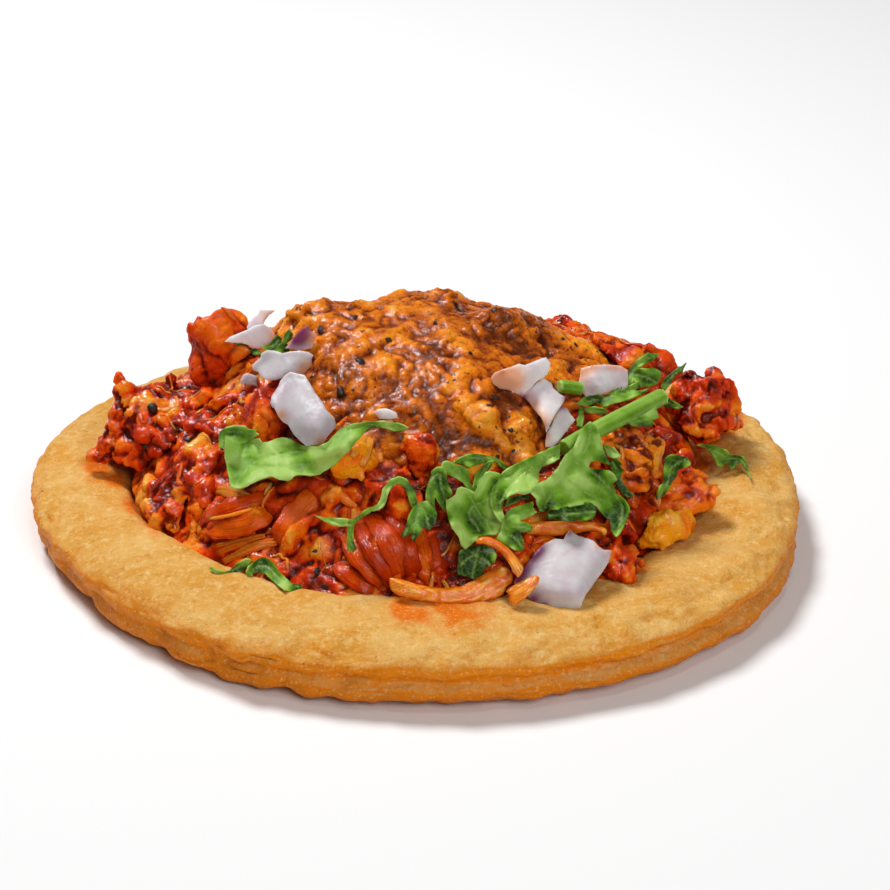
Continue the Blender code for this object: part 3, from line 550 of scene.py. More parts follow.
# Large pieces of rind.
# Torn skin and fat that kept their size: some red and granular with meat on them, some
# plain orange skin, some soft yellow fat. They sit half sunk in the heap.
red_finish = wet_finish("red_rind", (
    (0.30, DEEP_RED), (0.41, (0.56, 0.026, 0.001)), (0.54, (0.80, 0.074, 0.002)), (0.66, (0.90, 0.21, 0.006)),
    (0.80, (0.92, 0.40, 0.04)),
), CREASE_SHADE, 2.6, 0.24)
orange_finish = wet_finish("orange_rind", (
    (0.28, (0.42, 0.018, 0.001)), (0.43, (0.74, 0.058, 0.001)), (0.58, (0.88, 0.145, 0.003)),
    (0.76, (0.92, 0.28, 0.012)),
), (0.34, 0.16, 0.14), 3.6, 0.28)
yellow_finish = wet_finish("yellow_fat", (
    (0.24, (1.0, 0.20, 0.002)), (0.38, (1.0, 0.29, 0.004)), (0.52, (1.0, 0.38, 0.010)),
    (0.72, (1.0, 0.55, 0.06)),
), (0.96, 0.66, 0.30), 2.4, 0.20, glow=0.3, wettest=(-0.1, 0.5))
brown_finish = wet_finish("brown_rind", (
    (0.28, (0.26, 0.020, 0.001)), (0.41, (0.62, 0.080, 0.002)), (0.55, (0.84, 0.165, 0.004)),
    (0.74, (0.92, 0.34, 0.02)),
), CREASE_SHADE, 2.4, 0.24)
RIND_CELL = 0.30
# How many lumps, their sizes, the layers of small lumps, how wide its facets are and how deep.
GRAINY = (60, (0.4, 1.8, 0.9), [(2.8, 0.34), (0.9, 0.14)], 2.8, 0.48)
KNOBBLY = (40, (0.5, 2.0, 1.0), [(2.8, 0.36), (0.9, 0.12)], 3.6, 0.40)
SMOOTH_SKIN = (14, (0.6, 1.8, 1.0), [(4.2, 0.34), (1.2, 0.15)], 4.5, 0.05)
TORN_TIPS = {  # node: as seen from the front, right and up, how wide, how tall, tint
    "rind_left": [
        (-45.0, 9.6, 0.8, 1.5, 0.5), (-44.4, 7.8, 1.9, 1.8, 0.6), (-37.2, 10.0, 1.1, 1.2, 0.5),
        (-44.6, 5.0, 2.2, 2.2, 0.7), (-45.2, 2.2, 2.4, 2.2, 0.6), (-46.2, -0.2, 2.4, 1.9, 0.7),
        (-48.2, -1.6, 1.9, 1.1, 0.6), (-41.0, 7.2, 2.4, 1.6, 0.7), (-35.5, 5.4, 2.6, 1.6, 0.75),
        (-30.8, 3.2, 1.8, 1.8, 0.8),
    ],
    "rind_upper_left": [
        (-32.9, 18.4, 1.1, 1.7, 0.4), (-33.4, 16.2, 1.3, 1.8, 0.35), (-28.4, 19.6, 2.0, 1.2, 0.45),
        (-33.2, 13.6, 1.3, 2.2, 0.35), (-32.8, 11.0, 1.8, 2.2, 0.3), (-29.8, 10.0, 2.4, 2.2, 0.25),
    ],
    "rind_far_right": [(45.6, 10.8, 1.4, 1.4, 0.6), (48.6, 6.0, 1.2, 1.8, 0.7), (41.0, 8.6, 1.8, 1.4, 0.5)],
}
RINDS = {
    "rind_left": (GRAINY, red_finish), "rind_upper_left": (SMOOTH_SKIN, orange_finish),
    "rind_lower_left": (KNOBBLY, red_finish), "rind_beside_salsa": (SMOOTH_SKIN, orange_finish),
    "rind_yellow_front": (SMOOTH_SKIN, yellow_finish), "rind_orange_front": (KNOBBLY, orange_finish),
    "rind_dark_middle": (GRAINY, red_finish), "rind_under_stem": (GRAINY, brown_finish),
    "rind_right": (KNOBBLY, orange_finish), "rind_yellow_right": (SMOOTH_SKIN, yellow_finish),
    "rind_front_right": (GRAINY, red_finish), "rind_front": (KNOBBLY, red_finish),
    "rind_far_right": (GRAINY, red_finish), "rind_ridge": (SMOOTH_SKIN, orange_finish),
    "rind_back_left": (GRAINY, red_finish), "rind_back": (KNOBBLY, red_finish),
    "rind_back_middle": (SMOOTH_SKIN, orange_finish), "rind_back_right": (GRAINY, red_finish),
}


def lumps_around(piece, count, sizes, draw):
    """Lumps scattered over the whole skin of a piece."""
    faces = list(piece.data.polygons)
    picked = draw.choices(faces, weights=[face.area for face in faces], k=count)
    found = []
    for face in picked:
        corners = [piece.data.vertices[corner].co / MM for corner in face.vertices]
        shares = [draw.random() for _ in corners]
        place = sum((corner * share for corner, share in zip(corners, shares)), Vector()) / sum(shares)
        found.append(lump_at(place, face.normal.copy(), draw.triangular(*sizes), draw))
    return found


def facet(place, size):
    """A tilted flat facet for each torn bit about as wide as size in millimetres, about -1 to 1."""
    centre = noise.voronoi(place / size)[1][0]
    tilt = noise.noise_vector(centre * 7.3)
    return 1.6 * tilt.dot(place / size - centre) + 0.9 * noise.noise(centre * 5.1)


rind_pieces = []
for number, (node, ((count, sizes, layers, facets, torn_deep), look)) in enumerate(RINDS.items()):
    piece = copy_of(node, node + "_torn")
    swell = 0.7 if node == "rind_beside_salsa" else -0.5
    move_points(piece, lambda place, normal: normal * swell)
    if node == "rind_back_left":  # it lies flat behind the other pieces
        move_points(piece, lambda place, normal: Vector((0, 0, -0.65 * max(0.0, place.z - 10.0))))
    added = lumps_around(piece, count, sizes, draw)
    low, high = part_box(node)
    depth = ((Vector(low) + Vector(high)) / 2 / MM - FRONT_EYE).length
    for u, v, wide, tall, tint in TORN_TIPS.get(node, []):
        reaches = Vector((wide, 0.8 * wide, tall))
        added.append((FRONT_EYE + sight(u, v) * depth, reaches, Matrix.Identity(3), tint))
    fused(piece, added, RIND_CELL, 14 if node == "rind_upper_left" else 2)
    roughen(piece, layers, 10.0 + number, lambda place, normal: torn_deep * facet(place, facets))
    slot = "orange_rind" if look in (orange_finish, yellow_finish) else "red_rind"
    rind_pieces.append(place_on_root(piece, look, slot, node))

# Cooked petals.
# Two curled pieces made of thin layers, one over the other like the coats of an onion,
# soaked dark red and orange, glossy and a little see-through.
PETALS = {  # node: a point on the axis of its layers, the axis, and how thick a layer is
    "rind_petal_left": (Vector((-22.5, -16.0, 16.0)), Vector((1.0, 0.25, 0.1)), 1.1),
    "rind_petal_front": (Vector((-11.5, -41.0, 6.0)), Vector((0.35, 0.9, 0.45)), 1.5),
}
PETAL_CELL = 0.28
petal_finish = wet_finish("cooked_petal", (
    (0.26, (0.26, 0.009, 0.001)), (0.42, (0.44, 0.024, 0.001)), (0.56, (0.68, 0.070, 0.002)),
    (0.76, (0.86, 0.21, 0.006)),
), (0.34, 0.20, 0.15), 2.6, 0.14, coat=0.6, glow=0.4, wettest=(0.0, 0.5))
for number, (node, (centre, axis, layer)) in enumerate(PETALS.items()):
    piece = copy_of(node, node + "_cooked")
    move_points(piece, lambda place, normal: normal * -0.5)
    fused(piece, lumps_around(piece, 6, (0.6, 1.2, 0.8), draw), PETAL_CELL, 8)
    along = axis.normalized()

    def coats(place, normal):
        away = place - centre
        ring = (away - along * away.dot(along)).length + 0.5 * lumps(place, 3.0, number)
        return 0.34 * ((ring / layer) % 1.0) - 0.12

    roughen(piece, [(5.0, 0.30), (1.6, 0.05)], 40.0 + number, coats)
    rind_pieces.append(place_on_root(piece, petal_finish, "red_rind" if number else "orange_rind", node))

# Torn fibres of the stew.
# Fine threads and flat strips of rind, torn along their grain, from dark red to orange. They
# lie across the lumps all over the heap, the widest strips near the front.
THREADS = 130
STRIPS = 46
LAID_STRIPS = [  # as seen from the front: points (right, up), how wide, how many side by side, tint
    ([(-6.9, 2.0), (-8.2, 0.2), (-9.6, -1.9)], 1.5, 1, 0.74),
    ([(-6.7, 2.0), (-7.4, -0.6), (-8.0, -3.3)], 1.6, 1, 0.80),
    ([(-6.2, 2.0), (-5.8, -0.4), (-5.2, -2.6)], 1.5, 1, 0.72),
    ([(-8.2, 1.2), (-9.4, -0.2), (-10.4, -1.4)], 1.2, 1, 0.66),
    ([(-30.4, -15.4), (-26.9, -14.7), (-22.9, -13.9)], 0.6, 2, 0.40),
    ([(-30.1, -16.6), (-27.6, -15.4), (-24.9, -14.8)], 0.6, 2, 0.30),
    ([(-29.3, -17.9), (-26.9, -16.6), (-24.1, -15.4), (-21.2, -14.7)], 0.6, 3, 0.44),
    ([(-30.2, -6.9), (-28.0, -7.3), (-25.4, -8.1)], 1.1, 2, 0.66),
    ([(-12.3, -6.1), (-11.2, -8.1), (-8.9, -9.4)], 1.2, 1, 0.5),
    ([(-13.8, -6.8), (-12.7, -8.8)], 1.1, 1, 0.46),
    ([(-14.5, -14.4), (-14.8, -16.7)], 0.25, 1, 0.9), ([(4.2, -20.7), (5.4, -22.6)], 0.35, 2, 0.85),
    ([(38.0, -3.9), (39.4, -5.6)], 0.3, 1, 0.8), ([(34.6, 1.1), (36.4, 2.3)], 0.35, 1, 0.7),
    ([(30.2, -6.0), (31.4, -8.2), (32.6, -10.4)], 0.4, 2, 0.7),
    ([(-3.6, -13.2), (-1.2, -12.6), (0.8, -14.0)], 0.8, 2, 0.4),
]


def seen_on(surface, u, v):
    """What is seen of a surface at (u, v) from the front and its normal, or (None, None)."""
    return surface.ray_cast(FRONT_EYE, sight(u, v))[:2]


def new_strands():
    """An empty shape for strands, with the layers that hold their tint and their grain."""
    shape = bmesh.new()
    return shape, [shape.verts.layers.float.new(name) for name in ("tint", "crest", "across")]


def strand(shape, layers, points, normals, wide, thick, tint, sides=8, blunt=0.15):
    """Adds a tapered, flattened strand through points, with its tint and its grain kept as layers."""
    rings = []
    for step, (point, normal) in enumerate(zip(points, normals)):
        ahead = points[min(step + 1, len(points) - 1)] - points[max(step - 1, 0)]
        side = ahead.cross(normal).normalized()
        up = side.cross(ahead).normalized()
        share = step / (len(points) - 1)
        swell = blunt + (1.0 - blunt) * math.sin(math.pi * min(max(share, 0.04), 0.96)) ** 0.5
        swell *= 1.0 + 0.25 * lumps(point, 1.4, tint * 9.0)
        ring = []
        for k in range(sides):
            turn = math.tau * k / sides
            spread, rise = wide * swell * math.cos(turn), thick * swell * math.sin(turn)
            vert = shape.verts.new(point + side * spread + up * rise)
            vert[layers[0]] = tint
            # The crest is higher on the upper side of the strand, so the finishes paint that side lighter and
            # the underside darker: painted light and shade.
            vert[layers[1]] = 0.5 + 0.3 * math.sin(turn)
            vert[layers[2]] = spread * 2.0 + tint * 40.0
            ring.append(vert)
        rings.append(ring)
    for near, far in zip(rings, rings[1:]):
        for k in range(sides):
            after = (k + 1) % sides
            shape.faces.new((near[k], near[after], far[after], far[k]))
    shape.faces.new(rings[0][::-1])
    shape.faces.new(rings[-1])


def finished_mesh(shape, name):
    bmesh.ops.recalc_face_normals(shape, faces=shape.faces)
    bmesh.ops.scale(shape, vec=(MM, MM, MM), verts=shape.verts)
    mesh = bpy.data.meshes.new(name)
    shape.to_mesh(mesh)
    shape.free()
    piece = bpy.data.objects.new(name, mesh)
    bpy.context.scene.collection.objects.link(piece)
    return piece


def flowing(points, step, closed=True, soft=1.0):
    """Points about a step apart on a curve through the given ones, straight where soft is 0."""
    rim = [Vector(point) for point in points]
    count = len(rim)
    out = []
    for i in range(count if closed else count - 1):
        if closed:
            a, b, c, d = (rim[(i + k) % count] for k in (-1, 0, 1, 2))
        else:
            a, b, c, d = rim[max(i - 1, 0)], rim[i], rim[i + 1], rim[min(i + 2, count - 1)]
        pieces = max(1, round((c - b).length / step))
        pull = soft * min(1.0, 2.2 * (c - b).length / ((b - a).length + (d - c).length + 1e-6))
        for k in range(pieces):
            t = k / pieces
            into, away = (c - a) * 0.5 * pull, (d - b) * 0.5 * pull
            out.append(
                b * (2 * t**3 - 3 * t**2 + 1) + into * (t**3 - 2 * t**2 + t)
                + c * (3 * t**2 - 2 * t**3) + away * (t**3 - t**2)
            )
    return out if closed else out + [rim[-1]]


def smoothed(points, rounds):
    """A line of points, evened out so many times."""
    for _ in range(rounds):
        inner = [(a + b + c) / 3 for a, b, c in zip(points, points[1:], points[2:])]
        points = [points[0], *inner, points[-1]]
    return points


bed = surface_of(heap, *rind_pieces)
toppings = ("onion", "cilantro", "shred", "salsa")
over = surface_of(*(solid for name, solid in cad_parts.items() if name.split("_")[0] in toppings))
shape, layers = new_strands()
laid = 0
while laid < THREADS + STRIPS:
    flat = laid >= THREADS
    reach, turn = HEAP_REACH * draw.random() ** 0.42, draw.uniform(0.0, math.tau)
    x, y = HEAP_MIDDLE.x + reach * math.cos(turn), reach * math.sin(turn)
    heading, bend = draw.uniform(0.0, math.tau), draw.uniform(-0.25, 0.25)
    length = draw.uniform(2.0, 5.0) if flat else draw.uniform(1.2, 4.0)
    wide = draw.uniform(0.22, 0.50) if flat else draw.uniform(0.08, 0.20)
    points, normals = [], []
    for step in range(9):
        place, normal = topmost(bed, x, y)
        if place is None or over.ray_cast(place - Vector((0, 0, 0.5)), Vector((0, 0, 1)), 2.0)[0]:
            break
        points.append(place + normal * (0.10 if flat else 0.05))
        normals.append(normal)
        x += length / 8 * math.cos(heading)
        y += length / 8 * math.sin(heading)
        heading += bend
    if len(points) < 6 or max(abs(a.z - b.z) for a, b in zip(points, points[1:])) > 1.1:
        continue
    strand(shape, layers, points, normals, wide, 0.22 if flat else 0.8 * wide, draw.random())
    laid += 1
for route, wide, count, tint in LAID_STRIPS:
    for number in range(count):
        off = (number - (count - 1) / 2) * wide * 0.62
        path = flowing(route, 0.45, closed=False)
        points = []
        for step, point in enumerate(path):
            ahead = path[min(step + 1, len(path) - 1)] - path[max(step - 1, 0)]
            side = Vector((-ahead.y, ahead.x)).normalized()
            fan = off * (0.75 + 0.5 * step / len(path)) + 0.12 * math.sin(step * 0.5 + number)
            u, v = point + side * fan
            points.append(seen_on(bed, u, v)[0] - sight(u, v) * (0.22 + 0.10 * (number % 2)))
        facing = [-sight(0, 0)] * len(points)
        strand(shape, layers, smoothed(points, 10), facing, wide * 0.55, 0.24, tint + 0.05 * (number % 3))
fibres = finished_mesh(shape, "stew_fibres")
fibre_finish = wet_finish("torn_fibres", (
    (0.20, (0.30, 0.014, 0.001)), (0.38, (0.60, 0.055, 0.003)), (0.54, (0.80, 0.15, 0.006)),
    (0.70, (0.84, 0.30, 0.03)), (0.86, (0.80, 0.46, 0.11)),
), (0.40, 0.20, 0.12), 1.8, 0.22, glow=0.35, fibres=True, wettest=(0.0, 0.5))
place_on_root(fibres, fibre_finish, "stewed_filling")

# Soft bands over the cooked petals.
# The outer coats of the two petals, peeled a little apart: smooth wet bands that lap over one
# another like shingles, see-through where they are thin.
COATS = [  # as seen from the front: points (right, up), how wide, tint, how far out it laps
    ([(-31.0, -14.2), (-28.4, -14.4), (-26.1, -13.9), (-23.4, -12.7)], 1.5, 0.30, 0.1),
    ([(-32.0, -12.4), (-29.8, -12.7), (-26.9, -12.5), (-24.3, -11.6), (-22.4, -9.7)], 3.0, 0.62, 0.5),
    ([(-32.3, -11.3), (-30.1, -10.1), (-27.2, -9.3), (-24.6, -8.3), (-22.6, -7.9)], 2.0, 0.42, 0.7),
    ([(-31.4, -11.3), (-29.0, -10.9), (-26.6, -10.4), (-24.8, -9.7)], 0.5, 1.0, 1.35),
    ([(-14.6, -7.4), (-17.0, -9.6), (-19.0, -12.2), (-20.6, -15.6)], 3.8, 0.58, 0.3),
    ([(1.6, -12.9), (2.8, -16.9), (2.6, -20.5)], 2.2, 0.30, 0.1),
    ([(-0.8, -11.4), (0.8, -15.2), (1.2, -19.6)], 2.4, 0.62, 0.3),
    ([(-3.4, -10.6), (-2.0, -13.6), (-0.8, -17.0), (-0.2, -20.6)], 2.6, 0.30, 0.5),
    ([(-6.6, -10.4), (-4.8, -13.4), (-2.9, -16.6), (-1.6, -20.6)], 2.8, 0.44, 0.7),
    ([(-8.6, -11.6), (-7.0, -15.2), (-4.6, -18.4), (-2.8, -21.2)], 2.4, 0.28, 0.4),
    ([(-10.6, -13.2), (-9.2, -16.6), (-6.8, -19.2), (-4.4, -21.6)], 2.2, 0.54, 0.6),
    ([(-11.9, -18.0), (-9.8, -20.2), (-6.0, -22.2)], 2.4, 0.40, 0.9),
]
shape, layers = new_strands()
for route, wide, tint, lap in COATS:
    points = smoothed([seen_on(bed, *point)[0] for point in flowing(route, 0.4, closed=False)], 25)
    last = len(points) - 1
    points = [
        point + TO_THE_FRONT * (lap - 1.6 * (1.0 - math.sin(math.pi * step / last)) ** 2)
        for step, point in enumerate(points)
    ]
    facing = [TO_THE_FRONT + Vector((0, 0, 0.5))] * len(points)
    strand(shape, layers, points, facing, wide * 0.56, 0.26 + 0.03 * wide, tint, 18, 0.72)
coat_look = wet_finish("cooked_coats", (
    (0.30, (0.20, 0.006, 0.001)), (0.44, (0.36, 0.016, 0.001)), (0.57, (0.60, 0.052, 0.001)),
    (0.70, (0.82, 0.15, 0.003)), (0.86, (0.92, 0.38, 0.03)),
), (0.36, 0.16, 0.10), 1.6, 0.16, coat=0.40, glow=0.5, fibres=True, wettest=(0.0, 0.6))
place_on_root(finished_mesh(shape, "cooked_coats"), coat_look, "red_rind", *PETALS)

# Specks in the stew.
# A peppercorn in the large red piece, and flakes of charred chile skin that stick to the
# wet filling.
PEPPERCORN = (-40.1, 5.6, 0.75)
SMALL_SPECKS = 70
CHAR_BLACK = (0.006, 0.005, 0.005)
CHAR_BROWN = (0.06, 0.03, 0.02)
CHAR_FLAKES = [  # as seen from the front: right, up, size
    (-30.9, 4.1, 0.55), (-34.7, 0.8, 0.6), (-41.2, -0.2, 0.55), (-30.6, 9.8, 0.5), (-14.8, -19.2, 0.7),
    (-15.3, -16.2, 0.35), (-13.8, -21.6, 0.5), (-9.0, -15.0, 0.5), (-16.0, -18.0, 0.4), (23.0, -12.0, 0.5),
    (28.0, -14.6, 0.6), (29.4, -15.2, 0.5), (38.6, -3.1, 0.3), (-5.0, -20.0, 0.3), (-18.4, -4.8, 0.4),
]
char_finish = finish_of("charred_skin", Roughness=0.42, Specular_IOR_Level=0.3, Coat_Weight=0.15,
                        Coat_Roughness=0.15)
char = ramp(char_finish, grain(char_finish, 0.6, 4.0, 0.6), (0.35, CHAR_BLACK), (0.7, CHAR_BROWN))
colour_and_relief(char_finish, char, None, [(grain(char_finish, 0.3, 3.0, 0.6), 0.10)])


def flake(shape, place, normal, size, draw):
    """A curled scrap of charred skin lying on a surface."""
    lying = lying_on(normal, draw)
    ball = bmesh.ops.create_icosphere(shape, subdivisions=2, radius=1.0)["verts"]
    for vert in ball:
        knob = vert.co * (1.0 + 0.7 * noise.noise(vert.co * 1.3 + place * 3.0))
        vert.co = place + lying @ Vector((knob.x * size, knob.y * size * 0.75, knob.z * size * 0.18))


def flakes_seen(shape, surface, spots, draw):
    """Flakes on a surface where they are seen from the front."""
    for u, v, size in spots:
        place, normal = seen_on(surface, u, v)
        if place is not None:
            flake(shape, place, normal, size, draw)


shape = bmesh.new()
u, v, size = PEPPERCORN
place = seen_on(bed, u, v)[0]
ball = bmesh.ops.create_icosphere(shape, subdivisions=4, radius=size)["verts"]
for vert in ball:
    vert.co = place + vert.co * (1.0 + 0.16 * abs(lumps(vert.co, 0.45, 2.0)))
flakes_seen(shape, bed, CHAR_FLAKES, draw)
for place, _, _, _ in lumps_over(bed, SMALL_SPECKS, (0.1, 0.4, 0.2), draw):
    place, normal = topmost(bed, place.x, place.y)
    if place is not None:
        flake(shape, place, normal, draw.uniform(0.12, 0.34), draw)
place_on_root(finished_mesh(shape, "char_specks"), char_finish, "stewed_filling")

# The salsa.
# A spoonful of roasted tomato and chile, ground coarse. It lies thick and slack on the
# crown, with soft bits under its skin and charred flakes on it.
SALSA_BITS = 170
SALSA_SPECKS = 170
SALSA_CELL = 0.32
SALSA_FLAKES = [  # as seen from the front: right, up, size
    (-8.1, 12.7, 0.9), (-11.3, 8.1, 0.8), (-4.0, 16.0, 0.5), (3.0, 18.5, 0.5), (8.5, 14.0, 0.45),
    (12.2, 7.4, 0.7), (11.4, 6.0, 0.5), (14.6, 2.2, 0.45), (15.6, 0.4, 0.35), (12.5, -2.0, 0.5),
    (15.0, -0.9, 0.3), (-14.4, 17.4, 0.6), (-9.0, 19.5, 0.6), (6.0, 21.5, 0.6), (12.0, 20.6, 0.5),
    (22.5, 16.2, 0.45), (20.6, 13.6, 0.5), (24.6, 15.3, 0.45), (18.0, 18.0, 0.4), (0.0, 5.0, 0.4),
]
SALSA_BUMPS = [  # as seen from the front: right, up, size
    (4.6, 22.0, 2.2), (13.0, 19.4, 2.2), (-9.6, 21.0, 1.3), (-17.6, 20.0, 1.6), (24.6, 16.4, 1.2),
    (18.6, 17.0, 1.3), (16.4, 2.4, 1.6), (11.0, 4.6, 1.8),
]
SALSA_DENTS = [  # as seen from the front: right, up, how wide, how deep
    (21.0, 18.0, 4.5, 2.2), (9.0, 22.6, 2.6, 1.2), (-6.0, 23.0, 5.0, 0.6),
]
SALSA_TONES = [  # as seen from the front: right, up, how wide, how much lighter (above 0) or darker
    (13.0, 19.0, 3.4, -0.45), (17.0, 15.0, 3.2, -0.35), (-19.5, 18.0, 3.0, 0.45), (-6.0, 4.0, 3.2, 0.15),
    (3.3, 0.6, 2.6, -0.70), (8.5, 0.2, 2.6, -0.4), (14.5, 2.0, 2.4, 0.50), (16.0, -0.6, 2.0, 0.35),
    (14.0, 6.2, 1.9, -0.95), (10.6, 4.6, 1.8, 0.45), (22.6, 14.0, 2.4, -0.25), (24.0, 16.8, 2.0, 0.30),
    (-11.5, 11.5, 3.4, -0.30), (-2.6, 13.0, 3.0, 0.22), (3.4, 15.0, 3.0, -0.20), (-11.0, 3.0, 2.6, -0.35),
    (6.0, 8.0, 2.4, 0.18),
]
salsa = copy_of("salsa_cap", "salsa_spoonful")
dents = spots_on(salsa, SALSA_DENTS)
for vert, dent in zip(salsa.data.vertices, dents):
    vert.co.z -= (0.7 + dent) * MM * held((vert.co.z / MM - 18.0) / 6.0)
added = lumps_around(salsa, SALSA_BITS, (0.4, 1.7, 0.8), draw)
plain_skin = surface_of(salsa)
for u, v, size in SALSA_BUMPS:
    place = seen_on(plain_skin, u, v)[0]
    if place is not None:
        added.append((place, Vector((size, size, 0.8 * size)), Matrix.Identity(3), 0.4))
fused(salsa, added, SALSA_CELL, 4)
salsa.data.attributes.remove(salsa.data.attributes["tint"])
marked(salsa, "tint", 0.52 + 0.65 * spots_on(salsa, SALSA_TONES))
roughen(salsa, [(4.6, 0.44), (2.0, 0.24), (0.8, 0.12)], 60.0, crease=0.6)
salsa_finish = wet_finish("chunky_salsa", (
    (0.36, (0.22, 0.044, 0.004)), (0.42, (0.44, 0.088, 0.004)), (0.48, (0.64, 0.150, 0.005)),
    (0.54, (0.84, 0.225, 0.006)), (0.64, (0.94, 0.39, 0.03)),
), (0.46, 0.30, 0.22), 1.1, 0.32, 0.75, 0.25, peppery=0.32, skin=(0.32, 0.11))
place_on_root(salsa, salsa_finish, "chunky_salsa", "salsa_cap")

salsa_skin = surface_of(salsa)
shape = bmesh.new()
flakes_seen(shape, salsa_skin, SALSA_FLAKES, draw)
for _ in range(SALSA_SPECKS):
    place, normal = topmost(salsa_skin, draw.uniform(-22, 30), draw.uniform(-26, 26))
    if place is not None:
        flake(shape, place, normal, draw.triangular(0.10, 0.36, 0.12), draw)
place_on_root(finished_mesh(shape, "salsa_char"), char_finish, "chunky_salsa")

